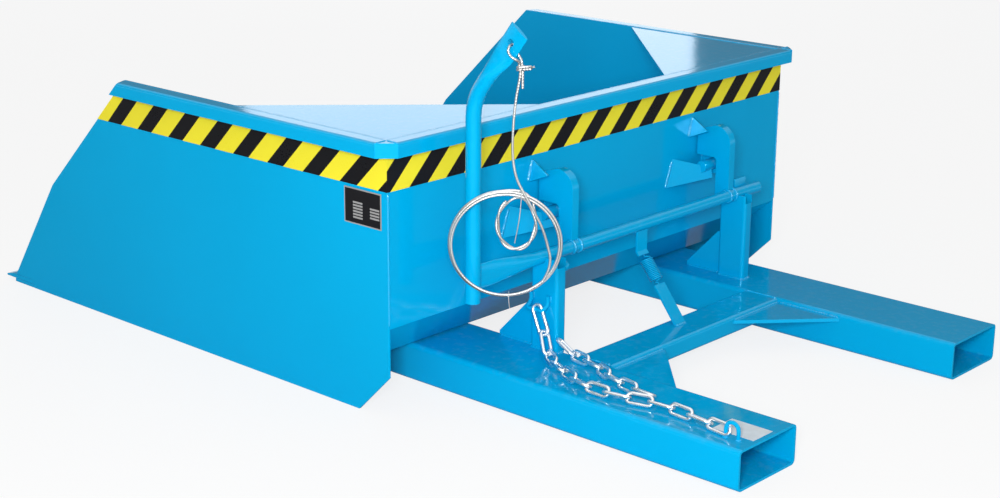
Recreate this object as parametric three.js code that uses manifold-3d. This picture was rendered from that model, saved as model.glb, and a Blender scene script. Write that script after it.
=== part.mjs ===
// Tipping bucket for a forklift truck: a steel shovel bucket hinged on two fork pockets,
// held at the back by two hooks on a release shaft with a hand lever, a rope and a chain.
// Millimetres, +Z up. X is the driver's right, Y points forward to the cutting edge.
// While it is built, y = 0 is the pockets' rear mouths, z = 0 the ground, x = 0 the middle.

import * as THREE from "three";
import { mergeVertices } from "three/addons/utils/BufferGeometryUtils.js";
import Module from "manifold-3d";

const wasm = await Module();
wasm.setup();

// Whole object
const LENGTH = 2000;
const BUCKET_WIDTH = 1300;

// Clearances and cuts
const GAP = 0.3;
const BORE_GAP = 0.5;
const OVERRUN = 6;

// Fork pockets: rectangular tubes that the fork tines go into
const POCKET_LENGTH = 1100;
const POCKET_WIDTH = 180;
const POCKET_HEIGHT = 80;
const POCKET_WALL = 5;
const POCKET_CORNER = 10;
const POCKETS_APART = 580;

// Cross beam between the pockets and its flat corner gussets
const BEAM_FROM_REAR = 429;
const BEAM_DEPTH = 90;
const BEAM_HEIGHT = 40;
const BEAM_WALL = 4;
const BEAM_CORNER = 8;
const CORNER_GUSSET_ACROSS = 170;
const CORNER_GUSSET_ALONG = 158;
const CORNER_GUSSET_THICK = 8;

// Posts that carry the release shaft in round notches
const POST_FROM_REAR = 565;
const POST_DEPTH = 70;
const POST_WIDTH = 30;
const POST_WALL = 3;
const POST_CORNER = 8;
const RIGHT_POST_INSET = 56;
const LEFT_POST_OVERHANG = 5;
const LEFT_POST_BACK = 10;
const POST_WINDOW_DROP = 17;
const POST_GUSSET_FOOT = 93;
const POST_GUSSET_RISE = 97;
const POST_GUSSET_THICK = 8;
const POST_GUSSET_NOSE = 9;
const STOP_BOSS_DIAMETER = 26.9;
const STOP_BOSS_LENGTH = 32;
const STOP_BOSS_BACK = 15;
const STOP_BOSS_DROP = 28;

// Release shaft: a round tube pressed flat and tall at its left end
const SHAFT_DIAMETER = 26.9;
const SHAFT_HEIGHT = 275;
const SHAFT_PAST_RIGHT_POST = 64;
const SHAFT_FLAT_TALL = 51;
const SHAFT_FLAT_THICK = 10;
const SHAFT_FLAT_LENGTH = 20;
const SHAFT_TAPER = 166;

// Hand lever: a round tube, bent back near its top and pressed flat at the end
const LEVER_FROM_MIDDLE = 512;
const LEVER_DIAMETER = 30;
const LEVER_FOOT_HEIGHT = 227;
const LEVER_BEND_HEIGHT = 591;
const LEVER_BEND_RADIUS = 100;
const LEVER_BEND_TURN = THREE.MathUtils.degToRad(37);
const LEVER_TIP = 144;
const LEVER_FLAT_WIDE = 47;
const LEVER_FLAT_THICK = 8;
const LEVER_FLAT_LENGTH = 52;
const LEVER_TAPER = 66;
const LEVER_FLAT_SHIFT = 7;
const ROPE_HOLE_DIAMETER = 15;
const ROPE_HOLE_FROM_END = 30.5;

// Hooks on the shaft
const RIGHT_HOOK_FROM_MIDDLE = 333;
const HOOKS_APART = 544;
const HOOK_THICK = 20;
const HOOK_LEG_BACK = 2;
const HOOK_LEG_DEPTH = 36;
const HOOK_NOSE_DROP = 15;
const HOOK_REACH = 87;
const HOOK_OVER_PIN = 7;
const HOOK_OVER_THROAT = 74;
const HOOK_BACK_RADIUS = 40;
const HOOK_THROAT_RADIUS = 8;

// Tension spring, the arm under the shaft and the strap on the beam
const SPRING_FROM_MIDDLE = 5;
const SPRING_STRAP_WIDE = 34;
const SPRING_STRAP_THICK = 5;
const SPRING_FOOT_BACK = 34;
const SPRING_DIAMETER = 29;
const SPRING_WIRE = 3;
const SPRING_PITCH = 3.7;
const SPRING_CURLS = 13;
const SPRING_END = 8;
const SPRING_ARM_BACK = 13;
const SPRING_ARM_DROP = 64;
const SPRING_ARM_TAB = 11;

// Bucket body
const PANEL = 5;
const BUCKET_REAR = 691;
const RIM_ABOVE_SHAFT = 280;
const HEEL_RISE = 85;
const HEEL_RUN = 85;
const FRONT_KINK_FROM_REAR = 1785;
const FRONT_KINK_HEIGHT = 270;
const RIM_FRONT = 1490;
const BACK_WALL_FOOT = 184;
const FLOOR_START = 806;
const FLOOR_OVER_POCKETS = 4;
const RAMP_START = 1150;
const EDGE_DEPTH = 100;
const EDGE_THICK = 10;
const EDGE_BEVEL = 26;
const EDGE_NOSE = 4;
const PANEL_BEFORE_TIP = 40;
const WEAR_FRONT_BACK = 35;
const WEAR_DEPTH = 80;
const WEAR_THICK = 8;
const CORNER_PLATE_LEG = 440;
const CORNER_PLATE_DROP = 1.5;

// Folded rim round three sides
const RIM_OUT = 31;
const RIM_FACE = 29;
const RIM_END_BACK = 15;
const RIM_SHEET = 4;
const RIM_FOLD = 7;

// Catches on the back wall, one in front of each hook
const CATCH_PIN_DIAMETER = 26;
const CATCH_PIN_OFF_WALL = 35;
const CATCH_PIN_ABOVE_SHAFT = 63;
const CATCH_PIN_LEFT = 36;
const CATCH_SIDE_GAP = 4;
const CATCH_CHEEK_THICK = 8;
const CATCH_CHEEK_NOSE = 23;
const CATCH_CHEEK_RISE = 44;
const CATCH_CHEEK_DROP = 38;
const WING_TURN = THREE.MathUtils.degToRad(25.5);
const WING_LEAN = THREE.MathUtils.degToRad(9);
const WING_THICK = 6;
const WING_LENGTH = 150;
const WING_TIP_BACK = 53;
const WING_TIP_DROP = 26;
const WING_TIP_TALL = 20;
const WING_FOOT_DROP = 17;
const WING_FOOT_TALL = 80;
const CATCH_GUSSET_LEFT = 35;
const CATCH_GUSSET_THICK = 6;
const CATCH_GUSSET_BELOW_TAPE = 7;
const CATCH_GUSSET_TALL = 47;
const CATCH_GUSSET_REACH = 48;
const CATCH_GUSSET_TIP = 21;
const CATCH_GUSSET_LEAN = THREE.MathUtils.degToRad(16);

// Tilt pivot under the floor
const TILT_FROM_REAR = 1110;
const TILT_HEIGHT = 45;
const TILT_PIN_DIAMETER = 24;
const TILT_PIN_HEAD = 34;
const TILT_PIN_HEAD_THICK = 5;
const LUG_THICK = 10;
const LUG_NOSE = 30;
const LUG_FOOT = 110;
const EAR_THICK = 10;
const EAR_GAP = 1.5;
const EAR_NOSE = 28;
const EAR_ROOT = 38;

// Tape, plates and label
const TAPE_TOP_BELOW_RIM = 30;
const TAPE_WIDE = 70;
const TAPE_THICK = 0.5;
const TYPE_PLATE_FROM_REAR = 15;
const TYPE_PLATE_LONG = 101;
const TYPE_PLATE_TALL = 71;
const TYPE_PLATE_BELOW_TAPE = 6;
const TYPE_PLATE_THICK = 1;
const LABEL_FROM_REAR = 9;
const LABEL_LONG = 89;
const LABEL_WIDE = 61;
const LABEL_IN_FROM_SIDE = 55;
const LABEL_THICK = 0.4;

// Chain from the left post to an eye on the left pocket
const CHAIN_WIRE = 7;
const CHAIN_LINK_WIDE = 26;
const CHAIN_PITCH = 46;
const CHAIN_LAP = 0.6;
const CHAIN_JOINT_GAP = 2.5;
const CHAIN_REST = 2.2;
const CHAIN_LIFT = 12.6;
const CHAIN_ROLLS = [20, -65].map(THREE.MathUtils.degToRad);
const STAPLE_WIRE = 8;
const STAPLE_REAR = 575;
const STAPLE_SPAN = 44;
const STAPLE_FOOT_HEIGHT = 171;
const STAPLE_TALL = 28;
const STAPLE_OUT = 14;
const STAPLE_HANG_SHARE = 0.4;
const EYE_WIRE = 8;
const EYE_REAR = 31;
const EYE_SPAN = 27;
const EYE_TALL = 30;
const EYE_IN_FROM_SIDE = 40;

// Rope: thin steel wire rope tied into the lever's hole
const ROPE_DIAMETER = 5;
const ROPE_TURN = THREE.MathUtils.degToRad(-47.8);
const KNOT_DIAMETER = 16;
const KNOT_TALL = 14;
const KNOT_DROP = 40;
const KNOT_BACK = 13.5;
const KNOT_IN = 8.5;
const LOOP_BEND = 10;
const LOOP_SAG = 3.8;
const COIL_RADIUS = 105;
const COIL_SIDE = -8.7;
const COIL_DROP = 381;
const COIL_START = THREE.MathUtils.degToRad(-35);
const COIL_TURNS = 2.65;
const COIL_STACK = 5.9;
const COIL_CLOSING = 2.5;
const COIL_SHIFT = 2.2;
const EYE_LOOP_HALF_WIDE = 36;
const EYE_LOOP_HALF_TALL = 49;
const EYE_LOOP_SIDE = 11.7;
const EYE_LOOP_DROP = 345;
const EYE_LOOP_DEPTH = 13;
const EYE_LOOP_START = THREE.MathUtils.degToRad(30);
const EYE_LOOP_TURNS = 1.75;
const EYE_LOOP_TWISTS = 6.5;
const EYE_LOOP_STEPS = 60;
const EYE_LOOP_STRAND = 2.95;

// Facets
const ROUND = 24;
const SMALL_ROUND = 12;
const FOLD_STEPS = 4;
const LOOP_STEPS = 24;

// Places that follow from the sizes above
const PANEL_OUT = BUCKET_WIDTH / 2;
const PANEL_IN = PANEL_OUT - PANEL;
const POCKET_IN = POCKETS_APART / 2;
const POCKET_OUT = POCKET_IN + POCKET_WIDTH;
const SHAFT_RADIUS = SHAFT_DIAMETER / 2;
const SHAFT_Y = POST_FROM_REAR + POST_DEPTH / 2;
const LEFT_POST_X = -POCKET_IN - POST_WIDTH + LEFT_POST_OVERHANG;
const LEFT_POST_REAR = POST_FROM_REAR - LEFT_POST_BACK;
const RIGHT_POST_X = POCKET_IN + RIGHT_POST_INSET;
const LEFT_HOOK_X = RIGHT_HOOK_FROM_MIDDLE - HOOKS_APART;
const PIN_Y = BUCKET_REAR - CATCH_PIN_OFF_WALL;
const CATCH_PIN_HEIGHT = SHAFT_HEIGHT + CATCH_PIN_ABOVE_SHAFT;
const HOOK_THROAT_RISE = CATCH_PIN_ABOVE_SHAFT + CATCH_PIN_DIAMETER / 2 + HOOK_OVER_PIN;
const HOOK_RISE = HOOK_THROAT_RISE + HOOK_OVER_THROAT;
const RIM_HEIGHT = SHAFT_HEIGHT + RIM_ABOVE_SHAFT;
const TAPE_HEIGHT = RIM_HEIGHT - TAPE_TOP_BELOW_RIM - TAPE_WIDE;
const TYPE_PLATE_HEIGHT = TAPE_HEIGHT - TYPE_PLATE_BELOW_TAPE - TYPE_PLATE_TALL;
const FLOOR_HEIGHT = POCKET_HEIGHT + FLOOR_OVER_POCKETS;
const EDGE_FOOT = WEAR_THICK + GAP;
const EDGE_TOP = EDGE_FOOT + EDGE_THICK;
const EDGE_REAR = LENGTH - EDGE_DEPTH;
const WEAR_FRONT = LENGTH - WEAR_FRONT_BACK;
const WEAR_REAR = WEAR_FRONT - WEAR_DEPTH;

// Finishes
const BLUE = paint(0x1e9bd7);
const TAPE_YELLOW = new THREE.MeshStandardMaterial({ color: 0xe0d72e, roughness: 0.45, metalness: 0 });
const PLATE_BLACK = new THREE.MeshStandardMaterial({ color: 0x17181a, roughness: 0.4, metalness: 0 });
const LABEL_GREY = new THREE.MeshStandardMaterial({ color: 0xd6dde2, roughness: 0.5, metalness: 0 });
const ZINC = new THREE.MeshStandardMaterial({ color: 0xc9ced2, roughness: 0.3, metalness: 1 });
const ROPE_STEEL = new THREE.MeshStandardMaterial({ color: 0xb9bcbe, roughness: 0.45, metalness: 0.8 });

function paint(color) {
  return new THREE.MeshStandardMaterial({ color, roughness: 0.28, metalness: 0.1 });
}

// The whole part, moved so that its origin is the middle of its footprint
const forkliftBucket = new THREE.Group();
const frame = new THREE.Group();
const bucket = new THREE.Group();
const release = new THREE.Group();
const rope = new THREE.Group();
forkliftBucket.add(frame, bucket, release, rope);
forkliftBucket.position.y = -LENGTH / 2;
release.position.set(0, SHAFT_Y, SHAFT_HEIGHT);

function add(group, name, geometry, material, x = 0, y = 0, z = 0) {
  const mesh = new THREE.Mesh(geometry, material);
  mesh.name = name;
  mesh.position.set(x, y, z);
  group.add(mesh);
  return mesh;
}

// Joining and cutting

function solid(geometry) {
  const bare = geometry.clone();
  bare.deleteAttribute("normal");
  bare.deleteAttribute("uv");
  const welded = mergeVertices(bare);
  const vertProperties = new Float32Array(welded.attributes.position.array);
  const triVerts = new Uint32Array(welded.index.array);
  return new wasm.Manifold(new wasm.Mesh({ numProp: 3, vertProperties, triVerts }));
}

function surface(manifold) {
  const mesh = manifold.getMesh();
  const geometry = new THREE.BufferGeometry();
  geometry.setAttribute("position", new THREE.BufferAttribute(mesh.vertProperties, 3));
  geometry.setIndex(new THREE.BufferAttribute(mesh.triVerts, 1));
  return geometry;
}

function cut(geometry, ...tools) {
  let body = solid(geometry);
  for (const tool of tools) {
    body = body.subtract(solid(tool));
  }
  return surface(body);
}

function join(...geometries) {
  let body = solid(geometries[0]);
  for (const geometry of geometries.slice(1)) {
    body = body.add(solid(geometry));
  }
  return surface(body);
}

// Sections, sheets and bars

function outline(points) {
  return new THREE.Shape(points.map(([a, b]) => new THREE.Vector2(a, b)));
}

function roundedRectangle(width, height, radius, type = THREE.Shape) {
  const shape = new type();
  const a = width / 2 - radius;
  const b = height / 2 - radius;
  const quarter = Math.PI / 2;
  shape.absarc(a, b, radius, 0, quarter);
  shape.absarc(-a, b, radius, quarter, 2 * quarter);
  shape.absarc(-a, -b, radius, 2 * quarter, 3 * quarter);
  shape.absarc(a, -b, radius, 3 * quarter, 4 * quarter);
  shape.closePath();
  return shape;
}

function hollowSection(width, height, wall, corner) {
  const shape = roundedRectangle(width, height, corner);
  const bore = roundedRectangle(width - 2 * wall, height - 2 * wall, corner - wall, THREE.Path);
  shape.holes.push(bore);
  return shape;
}

function alongZ(shape, length, curveSegments = FOLD_STEPS) {
  return new THREE.ExtrudeGeometry(shape, { depth: length, bevelEnabled: false, curveSegments });
}

function alongX(shape, length, curveSegments = FOLD_STEPS) {
  const geometry = alongZ(shape, length, curveSegments);
  const turned = new THREE.Matrix4().makeBasis(
    new THREE.Vector3(0, 1, 0),
    new THREE.Vector3(0, 0, 1),
    new THREE.Vector3(1, 0, 0),
  );
  return geometry.applyMatrix4(turned);
}

function alongY(shape, length, curveSegments = FOLD_STEPS) {
  const geometry = alongZ(shape, length, curveSegments);
  geometry.rotateX(Math.PI / 2);
  return geometry.translate(0, length, 0);
}

function box(x0, x1, y0, y1, z0, z1) {
  const geometry = new THREE.BoxGeometry(x1 - x0, y1 - y0, z1 - z0);
  return geometry.translate((x0 + x1) / 2, (y0 + y1) / 2, (z0 + z1) / 2);
}

function barX(diameter, x0, x1, y = 0, z = 0, sides = ROUND) {
  const geometry = new THREE.CylinderGeometry(diameter / 2, diameter / 2, x1 - x0, sides);
  geometry.rotateZ(Math.PI / 2);
  return geometry.translate((x0 + x1) / 2, y, z);
}

function polygon(diameter, sides) {
  const points = [];
  for (let i = 0; i < sides; i += 1) {
    const angle = (2 * Math.PI * i) / sides;
    points.push([(Math.cos(angle) * diameter) / 2, (Math.sin(angle) * diameter) / 2]);
  }
  return outline(points);
}

function tube(curve, diameter, steps, sides) {
  return new THREE.ExtrudeGeometry(polygon(diameter, sides), {
    steps,
    bevelEnabled: false,
    extrudePath: curve,
  });
}

function smooth(points) {
  const vectors = points.map(([x, y, z]) => new THREE.Vector3(x, y, z));
  return new THREE.CatmullRomCurve3(vectors, false, "centripetal");
}

// A straight round tube along +Z whose last stretch is pressed flat: narrow in X, wide in Y
function pressedTube({ diameter, length, flat, taper, thick, wide, shift, rings }) {
  const geometry = new THREE.CylinderGeometry(diameter / 2, diameter / 2, length, ROUND - 4, rings);
  geometry.rotateX(Math.PI / 2);
  geometry.translate(0, 0, length / 2);
  const position = geometry.attributes.position;
  for (let i = 0; i < position.count; i += 1) {
    const pressed = THREE.MathUtils.smoothstep(position.getZ(i), length - flat - taper, length - flat);
    const across = THREE.MathUtils.lerp(1, thick / diameter, pressed);
    const along = THREE.MathUtils.lerp(1, wide / diameter, pressed);
    position.setX(i, position.getX(i) * across + shift * pressed);
    position.setY(i, position.getY(i) * along);
  }
  return geometry;
}

// Bottom frame: pockets, cross beam, corner gussets

function makePocket(side, name) {
  const section = hollowSection(POCKET_WIDTH, POCKET_HEIGHT, POCKET_WALL, POCKET_CORNER);
  const middle = side * (POCKET_IN + POCKET_WIDTH / 2);
  add(frame, name, alongY(section, POCKET_LENGTH), BLUE, middle, 0, POCKET_HEIGHT / 2);
}

function makeCrossBeam() {
  const section = hollowSection(BEAM_DEPTH, BEAM_HEIGHT, BEAM_WALL, BEAM_CORNER);
  const length = POCKETS_APART - 2 * GAP;
  const y = BEAM_FROM_REAR + BEAM_DEPTH / 2;
  add(frame, "cross_beam", alongX(section, length), BLUE, -length / 2, y, POCKET_HEIGHT - BEAM_HEIGHT / 2);
}

function makeCornerGusset(side, name) {
  const edge = side * (POCKET_IN - GAP);
  const beam = BEAM_FROM_REAR - GAP;
  const triangle = outline([
    [edge, beam],
    [edge - side * CORNER_GUSSET_ACROSS, beam],
    [edge, beam - CORNER_GUSSET_ALONG],
  ]);
  const height = POCKET_HEIGHT - BEAM_CORNER - CORNER_GUSSET_THICK;
  add(frame, name, alongZ(triangle, CORNER_GUSSET_THICK), BLUE, 0, 0, height);
}

// Posts: their side walls end in round notches that the release shaft turns in

function makePost(x, rear, name) {
  const foot = POCKET_HEIGHT + GAP;
  const section = hollowSection(POST_WIDTH, POST_DEPTH, POST_WALL, POST_CORNER);
  const post = alongZ(section, SHAFT_HEIGHT - foot);
  post.translate(x + POST_WIDTH / 2, rear + POST_DEPTH / 2, foot);
  const notch = barX(
    SHAFT_DIAMETER + 2 * BORE_GAP,
    x - OVERRUN,
    x + POST_WIDTH + OVERRUN,
    SHAFT_Y,
    SHAFT_HEIGHT,
  );
  const window = box(
    x + POST_WALL,
    x + POST_WIDTH - POST_WALL,
    rear - OVERRUN,
    rear + POST_DEPTH + OVERRUN,
    SHAFT_HEIGHT - POST_WINDOW_DROP,
    SHAFT_HEIGHT + OVERRUN,
  );
  add(frame, name, cut(post, notch, window), BLUE);
}

function makePostGusset(x, postRear, name) {
  const rear = postRear + POST_DEPTH + GAP;
  const foot = POCKET_HEIGHT + GAP;
  const triangle = outline([
    [rear, foot],
    [rear + POST_GUSSET_FOOT, foot],
    [rear + POST_GUSSET_FOOT, foot + POST_GUSSET_NOSE],
    [rear + POST_GUSSET_NOSE, foot + POST_GUSSET_RISE],
    [rear, foot + POST_GUSSET_RISE],
  ]);
  const middle = x + (POST_WIDTH - POST_GUSSET_THICK) / 2;
  add(frame, name, alongX(triangle, POST_GUSSET_THICK), BLUE, middle);
}

function makeStopBoss() {
  const from = LEFT_POST_X + POST_WIDTH + GAP;
  const boss = new THREE.LatheGeometry(
    [
      [0, 0],
      [STOP_BOSS_DIAMETER / 2, 0],
      [STOP_BOSS_DIAMETER / 2, STOP_BOSS_LENGTH - GAP - STOP_BOSS_DIAMETER / 4],
      [STOP_BOSS_DIAMETER / 3, STOP_BOSS_LENGTH - GAP],
      [0, STOP_BOSS_LENGTH - GAP],
    ].map(([r, h]) => new THREE.Vector2(r, h)),
    SMALL_ROUND,
  );
  boss.rotateZ(-Math.PI / 2);
  add(frame, "stop_boss", boss, BLUE, from, SHAFT_Y - STOP_BOSS_BACK, SHAFT_HEIGHT - STOP_BOSS_DROP);
}

// Tilt pivot: a lug and a headed pin outside each pocket, an ear under the floor on each pin

function withBore(shape, y, z, diameter) {
  const bore = new THREE.Path();
  bore.absarc(y, z, diameter / 2, 0, 2 * Math.PI, true);
  shape.holes.push(bore);
  return shape;
}

function makePivotLug(side, name) {
  const shape = new THREE.Shape();
  shape.moveTo(TILT_FROM_REAR - LUG_FOOT, TILT_HEIGHT - LUG_NOSE);
  shape.lineTo(TILT_FROM_REAR, TILT_HEIGHT - LUG_NOSE);
  shape.absarc(TILT_FROM_REAR, TILT_HEIGHT, LUG_NOSE, -Math.PI / 2, Math.PI / 2);
  shape.lineTo(TILT_FROM_REAR - LUG_FOOT, TILT_HEIGHT + LUG_NOSE);
  withBore(shape, TILT_FROM_REAR, TILT_HEIGHT, TILT_PIN_DIAMETER + 2 * BORE_GAP);
  const inner = POCKET_OUT + GAP;
  const x = side > 0 ? inner : -inner - LUG_THICK;
  add(frame, name, alongX(shape, LUG_THICK, SMALL_ROUND), BLUE, x);
}

function makePivotPin(side, name) {
  const inner = POCKET_OUT + GAP;
  const shank = LUG_THICK + EAR_THICK + 2 * EAR_GAP;
  const pin = new THREE.LatheGeometry(
    [
      [0, 0],
      [TILT_PIN_DIAMETER / 2, 0],
      [TILT_PIN_DIAMETER / 2, shank],
      [TILT_PIN_HEAD / 2, shank],
      [TILT_PIN_HEAD / 2, shank + TILT_PIN_HEAD_THICK],
      [0, shank + TILT_PIN_HEAD_THICK],
    ].map(([r, h]) => new THREE.Vector2(r, h)),
    ROUND,
  );
  pin.rotateZ((-side * Math.PI) / 2);
  add(frame, name, pin, ZINC, side * inner, TILT_FROM_REAR, TILT_HEIGHT);
}

function makeTiltEar(side, name) {
  const top = FLOOR_HEIGHT - GAP;
  const spread = Math.PI / 9;
  const shape = new THREE.Shape();
  shape.moveTo(TILT_FROM_REAR + EAR_ROOT, top);
  shape.lineTo(TILT_FROM_REAR - EAR_ROOT, top);
  shape.absarc(TILT_FROM_REAR, TILT_HEIGHT, EAR_NOSE, Math.PI + spread, 2 * Math.PI - spread);
  shape.closePath();
  withBore(shape, TILT_FROM_REAR, TILT_HEIGHT, TILT_PIN_DIAMETER + 2 * BORE_GAP);
  const inner = POCKET_OUT + GAP + LUG_THICK + EAR_GAP;
  const x = side > 0 ? inner : -inner - EAR_THICK;
  add(bucket, name, alongX(shape, EAR_THICK, SMALL_ROUND), BLUE, x);
}

// Bucket body: two side panels, and a back wall, bevel, floor and ramp folded between them

function makeSidePanel(side, name) {
  const rear = BUCKET_REAR;
  const wear = WEAR_REAR - GAP;
  const edge = EDGE_REAR - GAP;
  const profile = outline([
    [rear, RIM_HEIGHT],
    [rear, HEEL_RISE],
    [rear + HEEL_RUN, 0],
    [wear, 0],
    [wear, EDGE_FOOT],
    [edge, EDGE_FOOT],
    [edge, EDGE_TOP + GAP],
    [LENGTH - PANEL_BEFORE_TIP, EDGE_TOP + GAP],
    [FRONT_KINK_FROM_REAR, FRONT_KINK_HEIGHT],
    [RIM_FRONT, RIM_HEIGHT],
  ]);
  add(bucket, name, alongX(profile, PANEL), BLUE, side > 0 ? PANEL_IN : -PANEL_OUT);
}

// The folds are mitred: each sheet is a quad between the under line and its inward offset
function foldedSheets(under, thickness) {
  const directions = [];
  for (let i = 0; i + 1 < under.length; i += 1) {
    directions.push(under[i + 1].clone().sub(under[i]).normalize());
  }
  const inward = (d) => new THREE.Vector2(-d.y, d.x);
  const corner = (i) => {
    if (i === 0) {
      return under[0].clone().addScaledVector(inward(directions[0]), thickness);
    }
    if (i === directions.length) {
      const last = directions[i - 1];
      return new THREE.Vector2(under[i].x, under[i].y + thickness / last.x);
    }
    const bisector = inward(directions[i - 1]).add(inward(directions[i])).normalize();
    const reach = thickness / bisector.dot(inward(directions[i]));
    return under[i].clone().addScaledVector(bisector, reach);
  };
  return directions.map((d, i) => {
    const shrink = d.clone().multiplyScalar(GAP);
    const start = i === 0 ? new THREE.Vector2() : shrink;
    return new THREE.Shape([
      under[i].clone().add(start),
      under[i + 1].clone(),
      corner(i + 1),
      corner(i).add(start),
    ]);
  });
}

function makeTrough() {
  const under = [
    [BUCKET_REAR, RIM_HEIGHT],
    [BUCKET_REAR, BACK_WALL_FOOT],
    [FLOOR_START, FLOOR_HEIGHT],
    [RAMP_START, FLOOR_HEIGHT],
    [EDGE_REAR - GAP, EDGE_FOOT + GAP],
  ].map(([y, z]) => new THREE.Vector2(y, z));
  const names = ["back_wall", "bevel_plate", "floor_plate", "floor_ramp"];
  const width = 2 * (PANEL_IN - GAP);
  foldedSheets(under, PANEL).forEach((sheet, i) => {
    add(bucket, names[i], alongX(sheet, width), BLUE, -width / 2);
  });
}

function makeLip() {
  const edge = outline([
    [EDGE_REAR, EDGE_FOOT],
    [LENGTH, EDGE_FOOT],
    [LENGTH, EDGE_FOOT + EDGE_NOSE],
    [LENGTH - EDGE_BEVEL, EDGE_TOP],
    [EDGE_REAR, EDGE_TOP],
  ]);
  add(bucket, "cutting_edge", alongX(edge, BUCKET_WIDTH), BLUE, -PANEL_OUT);
  const wear = box(-PANEL_OUT, PANEL_OUT, WEAR_REAR, WEAR_FRONT, 0, WEAR_THICK);
  add(bucket, "wear_strip", wear, BLUE);
}

function makeCornerPlate(side, name) {
  const x = side * (PANEL_IN - GAP);
  const y = BUCKET_REAR + PANEL + GAP;
  const triangle = outline([
    [x, y],
    [x, y + CORNER_PLATE_LEG],
    [x - side * CORNER_PLATE_LEG, y],
  ]);
  const height = RIM_HEIGHT - CORNER_PLATE_DROP - PANEL;
  add(bucket, name, alongZ(triangle, PANEL), BLUE, 0, 0, height);
}

// Rim: a flange turned outwards at the top and a face turned down, on the left, back and right

function rimProfile() {
  const shape = new THREE.Shape();
  const out = RIM_OUT;
  shape.moveTo(GAP, 0);
  shape.lineTo(GAP, -RIM_SHEET);
  shape.lineTo(out - RIM_SHEET, -RIM_SHEET);
  shape.lineTo(out - RIM_SHEET, -RIM_FACE);
  shape.lineTo(out, -RIM_FACE);
  shape.absarc(out - RIM_FOLD, -RIM_FOLD, RIM_FOLD, 0, Math.PI / 2);
  shape.closePath();
  return shape;
}

function makeSideRim(side, name) {
  const rear = BUCKET_REAR + GAP;
  const slopeShare = (FRONT_KINK_FROM_REAR - RIM_FRONT) / (RIM_HEIGHT - FRONT_KINK_HEIGHT);
  const front = RIM_FRONT + RIM_FACE * slopeShare;
  const rail = alongY(rimProfile(), front - rear).translate(PANEL_OUT, rear, RIM_HEIGHT);
  const frontCut = alongZ(
    outline([
      [PANEL_OUT, RIM_FRONT],
      [PANEL_OUT + 2 * RIM_OUT, RIM_FRONT - 2 * RIM_END_BACK],
      [PANEL_OUT + 2 * RIM_OUT, RIM_FRONT + 2 * RIM_FACE],
      [PANEL_OUT, RIM_FRONT + 2 * RIM_FACE],
    ]),
    RIM_FACE + 2 * OVERRUN,
  ).translate(0, 0, -RIM_FACE - OVERRUN);
  frontCut.applyMatrix4(new THREE.Matrix4().makeShear(0, 0, 0, 0, 0, -slopeShare));
  frontCut.translate(0, 0, RIM_HEIGHT);
  const rim = cut(rail, frontCut);
  add(bucket, name, side > 0 ? rim : mirrored(rim), BLUE);
}

function mirrored(geometry) {
  const copy = geometry.clone().scale(-1, 1, 1);
  const index = copy.index.array;
  for (let i = 0; i < index.length; i += 3) {
    [index[i], index[i + 1]] = [index[i + 1], index[i]];
  }
  return copy;
}

function makeBackRim() {
  const length = 2 * (PANEL_OUT - GAP);
  const rail = alongY(rimProfile(), length);
  rail.rotateZ(-Math.PI / 2);
  add(bucket, "rim_back", rail, BLUE, -length / 2, BUCKET_REAR, RIM_HEIGHT);
}

function makeRimCorner(side, name) {
  const flange = outline([
    [PANEL_OUT + GAP, BUCKET_REAR],
    [PANEL_OUT, BUCKET_REAR - GAP],
    [PANEL_OUT, BUCKET_REAR - RIM_OUT],
    [PANEL_OUT + RIM_OUT, BUCKET_REAR],
  ]);
  const lipRun = RIM_SHEET * Math.SQRT2;
  const lip = outline([
    [PANEL_OUT, BUCKET_REAR - RIM_OUT],
    [PANEL_OUT + RIM_OUT, BUCKET_REAR],
    [PANEL_OUT + RIM_OUT - lipRun, BUCKET_REAR],
    [PANEL_OUT, BUCKET_REAR - RIM_OUT + lipRun],
  ]);
  const top = alongZ(flange, RIM_SHEET).translate(0, 0, RIM_HEIGHT - RIM_SHEET);
  const face = alongZ(lip, RIM_FACE).translate(0, 0, RIM_HEIGHT - RIM_FACE);
  const corner = join(top, face);
  add(bucket, name, side > 0 ? corner : mirrored(corner), BLUE);
}

// Catches: a pin in front of each hook, held by a slanted wing, a cheek and a small gusset above

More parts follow.
